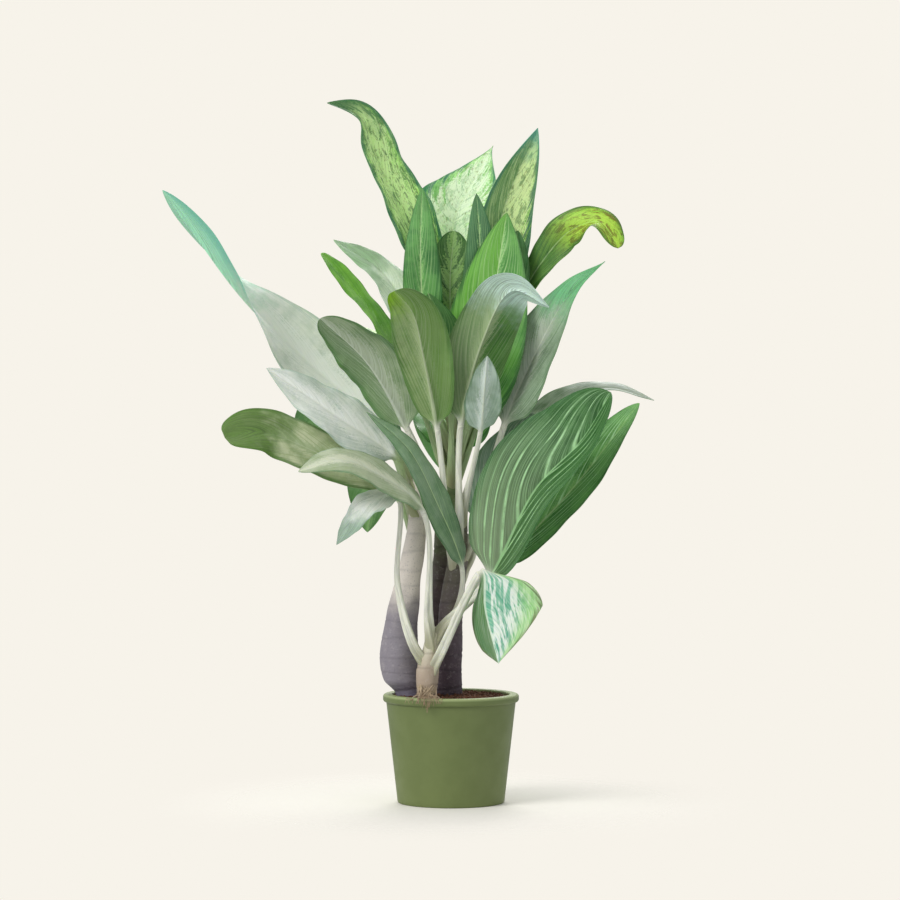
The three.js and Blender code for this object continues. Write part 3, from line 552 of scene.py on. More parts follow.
def add_piece(name, mesh_parts, paint, node, flat_angle, attributes=None):
    """Adds a piece, smooth up to an angle in degrees, on the plant's one body.

    Its points are in millimetres. It stands for the solid called node, if it is given.
    """
    points, faces = mesh_parts
    mesh = bpy.data.meshes.new(name)
    mesh.from_pydata((points * MM).tolist(), [], faces)
    for key, values in (attributes or {}).items():
        layer = mesh.attributes.new(key, "FLOAT_VECTOR", "POINT")
        layer.data.foreach_set("vector", np.asarray(values, np.float32).ravel())
    mesh.validate()
    mesh.shade_smooth()
    mesh.set_sharp_from_angle(angle=math.radians(flat_angle))
    mesh.materials.append(paint.material)
    piece = bpy.data.objects.new(name, mesh)
    bpy.context.scene.collection.objects.link(piece)
    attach(piece, "root")
    if node:
        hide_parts(node)


# ---------------------------------------------------------------- materials


def linear(colour):
    """A colour of 0 to 255 as light, of 0 to 1, with an opacity of 1."""
    parts = [part / 255 for part in colour]
    return [part / 12.92 if part <= 0.04045 else ((part + 0.055) / 1.055) ** 2.4
            for part in parts] + [1]


def shade(colour, share, lift=0):
    """A colour made darker, and then lighter by the same amount in each part."""
    return [part * share + lift for part in colour]


class Paint:
    """A material, and short names for the nodes that colour it."""

    def __init__(self, name, specular=0.0):
        self.material = bpy.data.materials.new(name)
        self.material.use_nodes = True
        self.tree = self.material.node_tree
        self.shader = self.tree.nodes["Principled BSDF"]
        self.feed(self.shader, {"Specular IOR Level": specular})

    def node(self, kind, values, **settings):
        node = self.tree.nodes.new(kind)
        for key, value in settings.items():
            setattr(node, key, value)
        self.feed(node, values)
        return node

    def feed(self, node, values):
        """Gives inputs of a node their values, or the outputs that they follow."""
        for place, value in values.items():
            if isinstance(value, bpy.types.NodeSocket):
                self.tree.links.new(value, node.inputs[place])
            else:
                node.inputs[place].default_value = value

    def show(self, piece, shader):
        """Gives the piece this material, with another shader than its own."""
        self.feed(self.tree.nodes["Material Output"], {"Surface": shader.outputs[0]})
        piece.data.materials.append(self.material)

    def math(self, operation, *values):
        return self.node("ShaderNodeMath", dict(enumerate(values)), operation=operation).outputs[0]

    def plus(self, first, second):
        return self.math("ADD", first, second)

    def minus(self, first, second):
        return self.math("SUBTRACT", first, second)

    def times(self, first, second):
        return self.math("MULTIPLY", first, second)

    def sway(self, noise, size):
        """A noise of 0 to 1 as one that goes from minus to plus half of size."""
        return self.times(self.minus(noise, 0.5), size)

    def attribute(self, name):
        """The three parts of an attribute of the mesh."""
        source = self.node("ShaderNodeAttribute", {}, attribute_name=name)
        return self.node("ShaderNodeSeparateXYZ", {0: source.outputs["Vector"]}).outputs

    def place(self):
        """The point on the piece, in millimetres."""
        source = self.node("ShaderNodeTexCoord", {})
        scaled = self.node("ShaderNodeVectorMath", {0: source.outputs["Object"], "Scale": 1 / MM},
                           operation="SCALE")
        return scaled.outputs[0]

    def vector(self, x, y, z):
        return self.node("ShaderNodeCombineXYZ", {0: x, 1: y, 2: z}).outputs[0]

    def noise(self, vector, scale, detail=3.0, roughness=0.55, distortion=0.0):
        values = {"Vector": vector, "Scale": scale, "Detail": detail, "Roughness": roughness,
                  "Distortion": distortion}
        return self.node("ShaderNodeTexNoise", values).outputs["Fac"]

    def between(self, value, low, high, start=0.0, end=1.0):
        """A smooth step from start to end as value goes from low to high."""
        values = {0: value, 1: low, 2: high, 3: start, 4: end}
        return self.node("ShaderNodeMapRange", values, interpolation_type="SMOOTHSTEP").outputs[0]

    def blend(self, share, first, second):
        values = {0: share, 6: first, 7: second}
        for place in (6, 7):
            if not isinstance(values[place], bpy.types.NodeSocket):
                values[place] = linear(values[place])
        return self.node("ShaderNodeMix", values, data_type="RGBA").outputs[2]

    def over(self, tone, colour, value, low, high, most=1.0):
        """A tone with as much of a colour on it, up to most, as value is on its way to high."""
        return self.blend(self.between(value, low, high, 0.0, most), tone, colour)

    def finish(self, colour, roughness, height, distance):
        """Feeds the shader, with a relief of height, of 0 to 1, times a distance in mm."""
        bump = self.node("ShaderNodeBump", {"Height": height, "Distance": distance * MM})
        self.feed(self.shader, {"Base Color": colour, "Roughness": roughness,
                                "Normal": bump.outputs[0]})
        return self


def glaze_paint():
    """The pot's satin green glaze, a little cloudy, finely pitted, with painted light on the top of the
    rim.
    """
    paint = Paint("olive_glaze", specular=0.4)
    place = paint.place()
    height = paint.node("ShaderNodeSeparateXYZ", {0: place}).outputs["Z"]
    cloud = paint.noise(place, 0.03, 3)
    pits = paint.noise(place, 0.9, 4, 0.7)
    tone = paint.over((107, 120, 69), (102, 115, 65), cloud, 0.3, 0.7)
    # Painted light: the top of the rim is paler, where the light falls on it.
    tone = paint.over(tone, (164, 176, 122), height, POT_HEIGHT - 4, POT_HEIGHT - 0.5, 0.8)
    tone = paint.over(tone, (84, 94, 54), pits, 0.62, 0.78, 0.35)
    return paint.finish(tone, paint.between(cloud, 0.3, 0.7, 0.46, 0.58), pits, 0.12)


def soil_paint():
    """Dark soil, with paler lumps and grit."""
    paint = Paint("dark_soil", specular=0.2)
    place = paint.place()
    lump = paint.noise(place, 0.16, 5, 0.7)
    grit = paint.noise(place, 1.2, 3, 0.7)
    tone = paint.over((66, 42, 30), (112, 76, 56), lump, 0.32, 0.68)
    tone = paint.over(tone, (140, 104, 80), grit, 0.6, 0.75, 0.6)
    return paint.finish(tone, 0.95, paint.plus(lump, paint.times(grit, 0.4)), 1.4)


def bark_paint(name, tones, foot, pale_between, scar_strength):
    """A cane's smooth skin: paler upwards, blotched, with a darker line at each leaf scar."""
    paint = Paint(name + "_skin", specular=0.35)
    height, scar, turn = paint.attribute("cane_place")
    place = paint.place()
    cloud = paint.noise(place, 0.05, 4, 0.6)
    grain = paint.noise(place, 0.45, 5, 0.65)
    fibres = paint.noise(paint.vector(paint.times(turn, 14.0), height, 3.0), 0.22, 4, 0.7)
    rise = paint.plus(paint.between(height, *pale_between), paint.sway(cloud, 0.8))
    tone = paint.over(tones["low"], tones["high"], rise, 0.0, 1.0)
    tone = paint.over(tone, tones["foot"], height, foot + 26, foot, 0.6)
    tone = paint.over(tone, tones["spot"], grain, 0.55, 0.75, 0.55)
    tone = paint.over(tone, FIBRE_TONE, fibres, 0.52, 0.8, 0.3)
    at_scar = paint.times(scar, 0.6 * scar_strength)
    tone = paint.blend(at_scar, tone, shade(tones["low"], 0.55))
    roughness = paint.between(cloud, 0.3, 0.7, 0.5, 0.75)
    return paint.finish(tone, roughness, paint.plus(grain, fibres), 0.5)


class LeafPaint(Paint):
    """A leaf's two faces and its petiole. Each part of the look is laid on the tone below it."""

    def __init__(self, leaf, number, blade_length):
        super().__init__(leaf.node + "_skin", specular=0.3)
        self.feed(self.shader, {"Subsurface Weight": 0.12, "Subsurface Radius": (0.8, 1.0, 0.3),
                                "Subsurface Scale": 0.002})
        self.leaf, self.look, self.number = leaf, leaf.look, number
        self.side, self.along, self.upper = self.attribute("leaf_place")
        self.across_mm, self.along_mm, self.petiole = self.attribute("leaf_skin")
        self.out = self.math("ABSOLUTE", self.side)
        swept = self.times(self.math("POWER", self.out, VEIN_SWEEP), leaf.lean)
        self.vein_place = self.minus(self.along, swept)
        self.streak = self.vein_noise(blade_length / 9, 36, 7.3, 4, 0.62)
        self.fine = self.vein_noise(blade_length / 2.6, 40, 3.1, 3, 0.6)
        self.drift = self.vein_noise(blade_length / 60, 40, 2.3, 2, 0.5)
        self.blotch = self.noise(self.stretched(1, 1, 11.0), 0.035, 4, 0.6)
        self.fleck = self.noise(self.stretched(1, 1, 11.0), 0.4, 4, 0.65)
        self.vein = self.side_veins()
        self.tone = self.look["main"]
        self.green()
        self.mottling()
        self.edge_painted_halves_and_base()
        self.edge_and_veins()
        self.hidden_face()
        self.tip()
        self.stalk()

    def stretched(self, across, along, offset):
        """A place on the leaf, stretched, and far from the same place on the other leaves."""
        return self.vector(self.times(self.across_mm, across), self.times(self.along_mm, along),
                           self.number * offset)

    def vein_noise(self, quickly, slowly, offset, detail, roughness):
        """Noise that changes quickly across the side veins and slowly along them."""
        place = self.vector(self.times(self.vein_place, quickly),
                            self.times(self.side, self.leaf.width / 2 / slowly),
                            self.number * offset)
        return self.noise(place, 1.0, detail, roughness)

    def lay(self, part, share):
        """Lays a part of the look, or a tone, on what is there."""
        colour = self.look[part] if isinstance(part, str) else part
        self.tone = self.blend(share, self.tone, colour)

    def lay_from(self, part, value, low, high, most=1.0):
        """Lays it as far as value is on its way from low to high."""
        self.lay(part, self.between(value, low, high, 0.0, most))

    def on_one_side(self, share, way, low, high, least=0.0):
        """A share on the left or the right side only, where way is -1 or 1."""
        turned = self.times(self.side, way)
        return self.times(share, self.between(turned, low, high, least, 1.0))

    def green(self):
        """Wide blotches, streaks between the side veins, and the light middle."""
        look, reach, ragged = self.look, self.look["reach"], self.look["ragged"]
        self.lay_from("deep", self.blotch, 0.35, 0.7, 0.8)
        self.lay_from("deep", self.streak, 0.5, 0.7, look["streak"])
        if reach:
            uneven = self.plus(self.sway(self.streak, ragged), self.sway(self.fleck, 0.7 * ragged))
            spread = self.minus(uneven, self.out)
            self.lay_from("light", spread, -reach - 0.12, -reach + 0.12, 0.85)

    def mottling(self):
        """Strokes in three colours, or light stripes along the blade."""
        look = self.look
        if "strokes" in look:
            place = self.stretched(0.15, 0.05, 1.7)
            stroke = self.noise(place, 1.0, 6, 0.72, 0.7)
            self.lay_from("deep", stroke, 0.51, 0.58, look["strokes"])
            self.lay_from("light", stroke, 0.46, 0.39, look["strokes"])
            self.lay_from("ochre", self.noise(place, 2.3, 4, 0.7, 0.5), 0.55, 0.66, 0.7)
        if "stripes" in look:
            stripe = self.noise(self.stretched(0.17, 0.022, 4.7), 1.0, 3, 0.6)
            self.lay_from("light", stripe, 0.44, 0.54, look["stripes"])

    def edge_painted_halves_and_base(self):
        """The left edge and the base, where they have a colour of their own, and painted light and shade
        on a half.
        """
        look = self.look
        if "edge_left" in look:
            self.lay_from("edge_left", self.side, -0.45, -0.85, 0.8)
        # Painted light and shade on one folded half, broken up by the streaks.
        most = look.get("painted_half_share", 0.85)
        share = self.between(self.streak, 0.42, 0.66, most, most - 0.4)
        for half, way in (("left", -1), ("right", 1)):
            if half in look:
                self.lay(half, self.on_one_side(share, way, -0.04, 0.04))
        if "base" in look:
            until, full = look.get("base_until", 0.55), look.get("base_full", 0.0)
            share = self.between(self.along, until, full, 0.0, 0.9)
            if "base_side" in look:
                share = self.on_one_side(share, look["base_side"], -0.1, 0.1, 0.25)
            self.lay("base", share)

    def side_veins(self):
        """How plain they are: uneven, broken, and gone towards the edge."""
        warped = self.plus(self.vein_place, self.times(self.drift, 0.16))
        line = self.math("PINGPONG", self.times(warped, self.leaf.count), 0.5)
        half = self.between(self.streak, 0.35, 0.65, 0.2, 0.07)
        vein = self.between(line, 0.015, half, 1.0, 0.0)
        vein = self.times(vein, self.between(self.blotch, 0.34, 0.62, 0.35, 1.0))
        return self.times(vein, self.between(self.out, 0.97, 0.55, 0.0, self.look["veins"]))

    def edge_and_veins(self):
        """The margin, fine veins, the side veins and the midrib, thinner towards the tip."""
        look, inner = self.look, 1 - self.look["margin_width"]
        frayed = self.plus(self.out, self.sway(self.streak, 0.5 * look["ragged"]))
        self.lay_from("margin", frayed, inner - 0.08, inner + 0.04, 0.85)
        self.lay_from("vein", self.fine, 0.45, 0.72, 0.42)
        self.lay_from("deep", self.fine, 0.5, 0.3, 0.42)
        self.lay("vein", self.vein)
        rib_half = self.times(self.minus(1.1, self.along), self.leaf.width * 0.013 + 0.4)
        rib_place = self.math("DIVIDE", self.math("ABSOLUTE", self.across_mm), rib_half)
        self.lay("rib", self.between(rib_place, 0.7, 1.5, look.get("rib_strength", 0.75), 0.0))

    def hidden_face(self):
        """Deeper on an upper face, and duller and paler on an underside."""
        main = self.look["main"]
        if self.leaf.face[1] > 0:
            hidden, colour = self.upper, shade(main, 0.78)
        else:
            hidden, colour = self.minus(1.0, self.upper), shade(main, 0.75, 52)
        most = 0.65 if "hidden" in self.look else 0.5
        self.lay(self.look.get("hidden", colour), self.times(hidden, most))

    def tip(self):
        """A tip with another colour, and darker streaks in it: mostly the tip's own colour, but a
        painted highlight on the arched tip of the front centre leaf.
        """
        look = self.look
        if "tip" not in look:
            return
        uneven = self.plus(self.along, self.sway(self.blotch, 0.3))
        start, end = look["tip_from"] - 0.13, look["tip_from"] + 0.13
        share = self.between(uneven, start, end, 0.0, 0.88)
        if "tip_side" in look:
            share = self.on_one_side(share, look["tip_side"], -0.3, 0.4)
        streaks = self.plus(self.times(self.fine, 0.6), self.times(self.streak, 0.4))
        colour = self.over(look["tip"], shade(look["tip"], 0.7), streaks, 0.42, 0.62)
        if "tip_edge" in look:
            colour = self.over(colour, look["tip_edge"], self.side, -0.2, -0.9, 0.8)
        self.lay(colour, share)

    def stalk(self):
        """The petiole's fibres and the sheath, and the relief of the whole leaf."""
        stalk = PETIOLE_TONES[self.leaf.cane]
        fibre = self.noise(self.stretched(1.1, 0.04, 3.7), 1.0, 3, 0.6)
        colour = self.over(stalk, shade(stalk, 0.86), fibre, 0.4, 0.65, 0.8)
        self.lay(self.over(colour, SHEATH_TONE, self.along_mm, 55, 14, 0.75), self.petiole)
        ridges = self.plus(self.times(self.fine, 0.6), self.times(self.fleck, 0.4))
        sunk = self.minus(ridges, self.times(self.vein, 0.5))
        relief = self.plus(sunk, self.times(self.petiole, self.minus(fibre, sunk)))
        self.finish(self.tone, self.between(self.blotch, 0.3, 0.7, 0.44, 0.6), relief, 0.35)


# ---------------------------------------------------------------- pot and soil


def quarter(radius, height, rounding, start):
    """A quarter of a circle in the pot's outline, from a direction in degrees."""
    return [(radius + rounding * math.cos(a), height + rounding * math.sin(a))
            for a in np.radians(np.linspace(start, start + 90, ROUNDING_STEPS))]


def make_pot():
    """A tapered pot with a rounded collar, hollow down to its floor."""
    foot = POT_HEIGHT - COLLAR_HEIGHT
    edge = COLLAR_RADIUS - COLLAR_ROUNDING
    inner_base = POT_BASE_RADIUS - WALL_THICKNESS
    body = [(POT_BASE_RADIUS + (POT_NECK_RADIUS - POT_BASE_RADIUS) * share,
             EDGE_ROUNDING + (foot - EDGE_ROUNDING) * share)
            for share in np.linspace(0, 1, POT_RINGS)]
    profile = [
        (0, 0),
        (POT_BASE_RADIUS - EDGE_ROUNDING, 0),
        (POT_BASE_RADIUS - 0.3 * EDGE_ROUNDING, 0.3 * EDGE_ROUNDING),
        *body,
        *quarter(edge, foot + COLLAR_ROUNDING, COLLAR_ROUNDING, -90),
        *quarter(edge, POT_HEIGHT - COLLAR_ROUNDING, COLLAR_ROUNDING, 0),
        *quarter(MOUTH_RADIUS + EDGE_ROUNDING, POT_HEIGHT - EDGE_ROUNDING, EDGE_ROUNDING, 90),
        (MOUTH_RADIUS, foot - MOUTH_DEPTH),
        (inner_base, FLOOR_THICKNESS + FLOOR_CORNER),
        (inner_base - FLOOR_CORNER, FLOOR_THICKNESS),
        (0, FLOOR_THICKNESS),
    ]
    add_piece("pot_turned", turn_profile(profile, POT_SIDES), glaze_paint(), "pot", 35)


def soil_height(radius):
    """The height of the mound at a distance from the pot's axis."""
    return SOIL_TOP + SOIL_MOUND * (1 - (radius / MOUTH_RADIUS) ** 2)


def make_soil(draws):
    """A crumbly mound, and loose crumbs half sunk in it."""
    outer = MOUTH_RADIUS - SOIL_GAP
    bottom = SOIL_TOP - SOIL_DEPTH
    shares = np.linspace(1, 0.02, SOIL_RINGS)
    profile = [(0, bottom), (outer - 2, bottom)]
    profile += [(outer * share, soil_height(outer * share)) for share in shares]
    profile += [(0, SOIL_TOP + SOIL_MOUND)]
    points, faces = turn_profile(profile, SOIL_SIDES)
    x, y, z = points.T
    top = z > SOIL_TOP - 1
    rough = draws.uniform(-SOIL_ROUGHNESS, SOIL_ROUGHNESS, len(points))
    swell = np.sin(x * 0.41 + 1) * np.sin(y * 0.37) + np.sin(x * 0.9)
    points[top, 2] += (rough + SOIL_SWELL * swell)[top] - SOIL_SINK
    parts = [(points, faces)]
    ball, ball_faces = crumb_shape()
    for _ in range(CRUMB_COUNT):
        radius = outer * 0.96 * math.sqrt(draws.uniform(0.02, 1))
        angle = draws.uniform(0, FULL_TURN)
        size = draws.uniform(*CRUMB_SIZES)
        lumpy = ball * size * draws.uniform(*CRUMB_LUMPS, ball.shape)
        centre = (radius * math.cos(angle), radius * math.sin(angle), soil_height(radius))
        parts.append((lumpy + centre, ball_faces))
    add_piece("soil_surface", join(parts), soil_paint(), "soil", 50)


def crumb_shape():
    """A small ball of rings, as points and faces."""
    ring, _ = circle(CRUMB_SIDES)
    tilts = np.radians(CRUMB_TILTS)
    return skin(np.array([ring * math.cos(tilt) + (0, 0, math.sin(tilt)) for tilt in tilts]))


# ---------------------------------------------------------------- canes and roots


def cane_radius(cane, share):
    """The radius at shares of a cane's length, smooth from each given one to the next."""
    radii = np.array(cane.radii, float)
    place = np.clip(share, 0, 1) * (len(radii) - 1)
    before = np.minimum(place.astype(int), len(radii) - 2)
    return radii[before] + (radii[before + 1] - radii[before]) * smooth(place - before, 0, 1)


def make_cane(cane, number):
    """A round stem whose old leaf scars are shallow rings, a little tilted and uneven."""
    line = SmoothLine(cane.path)
    shares = np.linspace(0, 1, int(line.lengths[-1] / CANE_RING_SPACING))
    out, angles = circle(CANE_SIDES)
    travelled = np.interp(shares, line.shares, line.lengths)[:, None]
    tilt = SCAR_TILT * np.sin(angles + travelled / SCAR_SPACING * SCAR_TURN)
    to_scar = (travelled + tilt) / SCAR_SPACING
    nearest = np.abs(to_scar - np.round(to_scar)) * SCAR_SPACING
    groove = bell(nearest, GROOVE_WIDTH)
    lip = bell(nearest - LIP_PLACE, LIP_WIDTH)
    three_humps = 0.35 * np.sin(3 * angles + travelled / 17 + number)
    five_humps = 0.25 * np.sin(5 * angles - travelled / 9)
    ringed = cane.scar * (LIP_HEIGHT * lip - GROOVE_DEPTH * groove)
    radius = cane_radius(cane, shares)[:, None] + ringed + (three_humps + five_humps)
    rounded_top = 1 - 0.6 * smooth(shares, 0.985, 1.0)
    radius = radius * rounded_top[:, None]
    rings = line.point(shares)[:, None] + radius[..., None] * out
    points, faces = join([skin(rings)] + [thick_root(cane, *root) for root in cane.roots])
    places = np.zeros((len(points), 3))
    places[:, 0] = points[:, 2]
    places[:groove.size, 1] = groove.ravel()
    places[:groove.size, 2] = np.broadcast_to(angles, groove.shape).ravel()
    paint = bark_paint(cane.node, cane.skin, SOIL_TOP, cane.pale_between, cane.scar)
    add_piece(cane.node + "_bark", (points, faces), paint, cane.node, 70,
              {"cane_place": places})


def thick_root(cane, direction, length):
    """A root that runs from a shoot's foot over the soil and down into it."""
    x, y, _ = cane.path[1]
    angle = math.radians(direction)
    across, ahead = math.cos(angle) * length, math.sin(angle) * length
    line = [(x + across * part, y + ahead * part, SOIL_TOP + rise) for part, rise in ROOT_STEPS]
    return tube(line, ROOT_RADIUS * np.linspace(1.3, 0.6, 18), 14)


def make_rootlets(draws):
    """Fine pale roots that spill from the shoot's foot over the soil and the pot's rim."""
    foot = np.array(CANES["front"].path[1], float)
    parts = []
    for number in range(ROOTLET_COUNT):
        turn = math.radians(draws.uniform(*ROOTLET_TURNS))
        reach = ROOTLET_REACHES[number % 3]
        height = draws.uniform(*ROOTLET_STARTS)
        start = foot + (reach * math.cos(turn), reach * math.sin(turn), height)
        spread = draws.normal(0, ROOTLET_SPREAD)
        wander = draws.uniform(*ROOTLET_WANDER, 4)
        rise = SOIL_TOP + draws.uniform(*ROOTLET_RISE)
        line = [
            tuple(start),
            (foot[0] + spread * 0.7 + wander[0], draws.uniform(*ROOTLET_WAY[0]), rise),
            (foot[0] + spread + wander[1], draws.uniform(*ROOTLET_WAY[1]), rise - 1),
        ]
        over_the_rim = number % 2 == 0
        if over_the_rim:
            x = foot[0] + spread * 1.1 + wander[2]
            least, further, breadth = ROOTLET_HANG
            longest = least + further * bell(x - foot[0] - 2, breadth)
            line += [
                (x, -MOUTH_RADIUS - 4.5, POT_HEIGHT + draws.uniform(0.5, 1.6)),
                (x, -COLLAR_RADIUS + 0.4, POT_HEIGHT - 0.6),
                (x + wander[3] * 0.5, -COLLAR_RADIUS - 1.2,
                 POT_HEIGHT - 4 - draws.uniform(0.3, 1) * longest),
            ]
        radius = draws.uniform(*ROOTLET_RADII)
        parts.append(tube(line, radius * np.linspace(1, 0.4, 26), 7))
    points, faces = join(parts)
    places = np.stack([points[:, 2], np.zeros(len(points)), points[:, 0] * 0.4], axis=1)
    paint = bark_paint("rootlets", ROOTLET_SKIN, SOIL_TOP - 60, (SOIL_TOP - 10, SOIL_TOP + 20), 0)
    add_piece("shoot_rootlets", (points, faces), paint, None, 80, {"cane_place": places})


# ---------------------------------------------------------------- leaves


def leaf_line(leaf):
    """The line that the petiole and the midrib follow, and the share of it that is petiole."""
    cane = CANES[leaf.cane]
    cane_line = SmoothLine(cane.path)
    heights = cane_line.point(cane_line.shares)[:, 2]
    share = float(np.interp(leaf.height, heights, cane_line.shares))
    start = cane_line.point(share)[0]
    rest = [np.array(point, float) for point in (*leaf.via, *leaf.path)]
    away = rest[0] - start
    reach = min(float(cane_radius(cane, np.array([share]))[0]) + SHEATH_RADIUS,
                np.linalg.norm(away) / 3)
    sheath_top = start + (0, 0, away[2] * SHEATH_RISE) + unit(away * (1, 1, 0)) * reach
    line = SmoothLine([start - (0, 0, CLASP_DROP), sheath_top, *rest])
    base_share = (2 + len(leaf.via)) / line.spans
    return line, float(np.interp(base_share, line.shares, line.lengths)) / line.lengths[-1]


def outline(along, taper):
    """Half the width of the blade, as a share of the widest place."""
    widest = WIDEST_AT / (WIDEST_AT + taper)
    most = widest ** WIDEST_AT * (1 - widest) ** taper
    return along ** WIDEST_AT * (1 - along) ** taper / most


def leaf_frames(line, leaf, part, along):
    """Middle, up and right of the cross-sections at parts of the line's length."""
    share = line.share_at_length(part)
    tangent = line.tangent(share)
    face, tip_face = np.array(leaf.face, float), np.array(leaf.tip_face, float)
    wanted = face + (tip_face - face) * along[:, None]
    up = unit(wanted - (wanted * tangent).sum(1, keepdims=True) * tangent)
    return line.point(share), up, np.cross(tangent, up)


def petiole_rings(centre, up, right, radius, openness):
    """Round cross-sections, with a channel and two low wings along the upper side."""
    spread = 90 - 90 / BLADE_COLUMNS
    upper = 90 - np.linspace(-1, 1, BLADE_COLUMNS) * spread
    degrees = np.concatenate([upper, -upper[::-1]])
    from_top = np.abs(degrees - 90)
    channel = CHANNEL[0] * bell(from_top, CHANNEL[1])
    wings = WINGS[0] * bell(from_top - WING_PLACE, WINGS[1])
    shape = 1 - channel + (wings - channel * 0.8) * openness[:, None]
    distance = (radius[:, None] * shape)[..., None]
    angle = np.radians(degrees)[None, :, None]
    out = np.cos(angle) * right[:, None] + np.sin(angle) * up[:, None]
    return centre[:, None] + out * distance


def blade_rings(centre, up, right, leaf, along, rib):
    """Thin folded cross-sections, quilted between the side veins, with a keel under the midrib."""
    side = np.linspace(-1, 1, BLADE_COLUMNS)[None, :]
    side = np.sign(side) * np.abs(side) ** COLUMN_SPACING
    out = np.abs(side)
    along, rib = along[:, None], rib[:, None]
    half = np.maximum(leaf.width / 2 * outline(along, leaf.taper), LEAST_HALF)
    share = half / (leaf.width / 2)
    fold = np.radians(np.where(side < 0, *leaf.fold))
    phase = np.where(side < 0, *WAVE_PHASES)
    wave = leaf.wave * share * out ** 2 * np.sin(FULL_TURN * WAVES * along + phase)
    ripple = np.sin(FULL_TURN * RIPPLES * along + 2 * phase)
    ripple = RIPPLE_SHARE * leaf.wave * share * out ** 4 * ripple
    vein_place = (along - leaf.lean * out ** VEIN_SWEEP) * leaf.count
    quilt = np.sqrt(np.abs(np.sin(math.pi * vein_place))) - 0.75
    off_the_rib, off_the_edge = smooth(out, 0.0, 0.2), smooth(out, 1.0, 0.75)
    relief = QUILT_HEIGHT * leaf.width * share * quilt * off_the_rib * off_the_edge
    height = out * half * np.sin(fold) - leaf.curl * share * out ** 2 + wave + ripple + relief
    across = side * half * np.cos(fold)
    middle = centre[:, None] + right[:, None] * across[..., None] + up[:, None] * height[..., None]
    tilt = fold * np.sign(side)
    normal = up[:, None] * np.cos(tilt)[..., None] - right[:, None] * np.sin(tilt)[..., None]
    thick = BLADE_THICKNESS / 2 * (1 - EDGE_THINNING * out ** 2)
    rib_shape = bell(side * half, 0.8 * rib + 0.4)
    over = thick - RIB_SINK * rib_shape * np.minimum(rib, 1)
    under = thick + KEEL_DEPTH * rib * rib_shape
    upper = middle + normal * over[..., None]
    lower = middle - normal * under[..., None]
    return np.concatenate([upper, lower[:, ::-1]], axis=1), side, side * half


def make_leaf(leaf, number):
    """A petiole that flattens into its blade, with what its paint has to know at each point."""
    line, petiole_share = leaf_line(leaf)
    length = line.lengths[-1]
    blade_length = length * (1 - petiole_share)

    up_petiole = np.linspace(0, 1, PETIOLE_RINGS, endpoint=False)
    petiole_part = up_petiole * petiole_share
    thin = PETIOLE_RADIUS * (0.5 + leaf.width / 200)
    radius = SHEATH_RADIUS + (thin - SHEATH_RADIUS) * smooth(up_petiole, 0, SHEATH_SHARE)
    radius = radius + CLASP_FLARE * (1 - smooth(petiole_part * length, *CLASP_LENGTH))
    frames = leaf_frames(line, leaf, petiole_part, np.zeros(PETIOLE_RINGS))
    petiole = petiole_rings(*frames, radius, smooth(up_petiole, *WINGS_FROM))

    even = np.linspace(0, 1, BLADE_RINGS)
    along = 0.45 * even + 0.55 * (0.5 - 0.5 * np.cos(math.pi * even))  # closer at both ends
    blade_part = petiole_share + along * (1 - petiole_share)
    frames = leaf_frames(line, leaf, blade_part, along)
    flat, side, across = blade_rings(*frames, leaf, along, thin * (1 - along) ** RIB_TAPER)
    still_round = petiole_rings(*frames, np.full(BLADE_RINGS, thin), np.zeros(BLADE_RINGS))
    flatness = smooth(along, 0, FLATTENING)[:, None, None]
    blade = still_round + (flat - still_round) * flatness

    place = np.zeros((PETIOLE_RINGS + BLADE_RINGS, 2 * BLADE_COLUMNS, 3))
    surface = place.copy()
    place[PETIOLE_RINGS:, :, 0] = np.concatenate([side, side[:, ::-1]], axis=1)
    place[PETIOLE_RINGS:, :, 1] = along[:, None]
    place[:, :BLADE_COLUMNS, 2] = 1
    surface[PETIOLE_RINGS:, :, 0] = np.concatenate([across, across[:, ::-1]], axis=1)
    surface[:PETIOLE_RINGS, :, 0] = np.linspace(-6, 6, 2 * BLADE_COLUMNS)
    surface[:, :, 1] = np.concatenate([petiole_part, blade_part])[:, None] * length
    surface[:PETIOLE_RINGS, :, 2] = 1
    surface[PETIOLE_RINGS:, :, 2] = (1 - smooth(along, 0, PALE_BASE))[:, None]
    attributes = {
        "leaf_place": np.vstack([place.reshape(-1, 3), [(0, 0, 0), (0, 1, 0)]]),
        "leaf_skin": np.vstack([surface.reshape(-1, 3), [(0, 0, 1), (0, length, 0)]]),
    }
    add_piece(leaf.node + "_blade", skin(np.concatenate([petiole, blade])),
              LeafPaint(leaf, number, blade_length), leaf.node, 60, attributes)


# ---------------------------------------------------------------- stage, light and camera


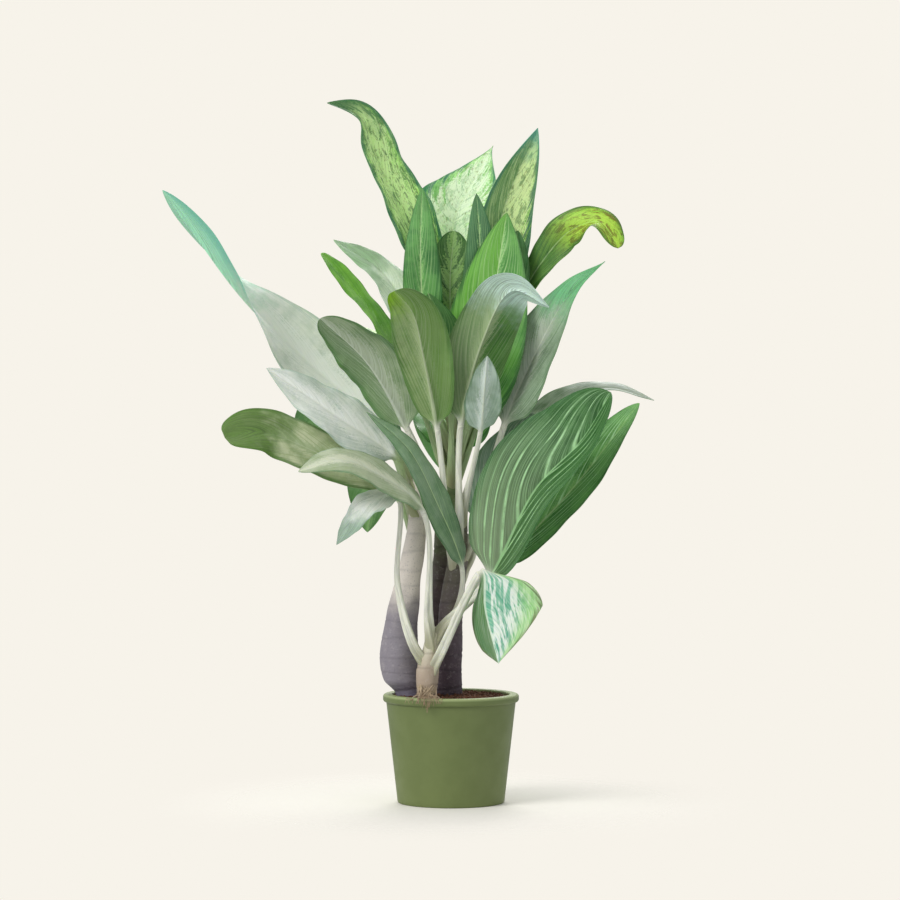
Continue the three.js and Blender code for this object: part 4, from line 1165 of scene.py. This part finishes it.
def make_stage():
    """A pale floor that fades into a pale surround of one colour, seen only by the camera."""
    bpy.ops.mesh.primitive_circle_add(vertices=96, radius=FLOOR_RADIUS, fill_type="NGON")
    floor = bpy.context.object
    floor.name = "studio_floor"
    paint = Paint("floor_paper")
    paint.feed(paint.shader, {"Base Color": linear(FLOOR_TONE), "Roughness": 1.0})
    distance = paint.node("ShaderNodeVectorMath", {0: paint.place()}, operation="LENGTH")
    fade = paint.between(distance.outputs["Value"], *FLOOR_FADES)
    clear = paint.node("ShaderNodeBsdfTransparent", {}).outputs[0]
    faded = {0: fade, 1: paint.shader.outputs[0], 2: clear}
    paint.show(floor, paint.node("ShaderNodeMixShader", faded))

    bpy.ops.mesh.primitive_uv_sphere_add(segments=48, ring_count=24, radius=BACKDROP_RADIUS)
    surround = bpy.context.object
    surround.name = "studio_surround"
    glow = Paint("surround_glow")
    glow.show(surround, glow.node("ShaderNodeEmission", {"Color": linear(BACKDROP)}))
    for rays in ("diffuse", "glossy", "transmission", "shadow"):
        setattr(surround, "visible_" + rays, False)


def make_lights():
    """An even sky, and the soft boxes, each turned to its target."""
    world = bpy.data.worlds.new("studio")
    world.use_nodes = True
    background = world.node_tree.nodes["Background"]
    background.inputs["Color"].default_value = linear(WORLD_TONE)
    background.inputs["Strength"].default_value = WORLD_STRENGTH
    bpy.context.scene.world = world
    for name, (place, target, size, power) in LIGHTS.items():
        lamp = bpy.data.lights.new(name, "AREA")
        lamp.size = size
        lamp.energy = power
        holder = bpy.data.objects.new(name, lamp)
        holder.location = place
        x, y, z = np.subtract(target, place)
        pitch = math.atan2(math.hypot(x, y), -z)
        holder.rotation_euler = (pitch, 0, math.atan2(y, x) - math.pi / 2)
        bpy.context.scene.collection.objects.link(holder)


def make_camera():
    camera = bpy.data.objects.new("camera", bpy.data.cameras.new("camera"))
    camera.location = [part * MM for part in CAMERA_PLACE]
    camera.rotation_euler = (math.radians(90 + CAMERA_PITCH), 0, 0)
    camera.data.lens = CAMERA_LENS
    camera.data.sensor_width = SENSOR_WIDTH
    bpy.context.scene.collection.objects.link(camera)
    bpy.context.scene.camera = camera


# ---------------------------------------------------------------- the whole scene

make_camera()
make_lights()
bpy.context.scene.view_settings.view_transform = "Standard"
make_stage()
make_pot()
draws = np.random.default_rng(SEED)
make_soil(draws)
for number, cane in enumerate(CANES.values()):
    make_cane(cane, number)
make_rootlets(draws)
for number, leaf in enumerate(LEAVES):
    make_leaf(leaf, number)
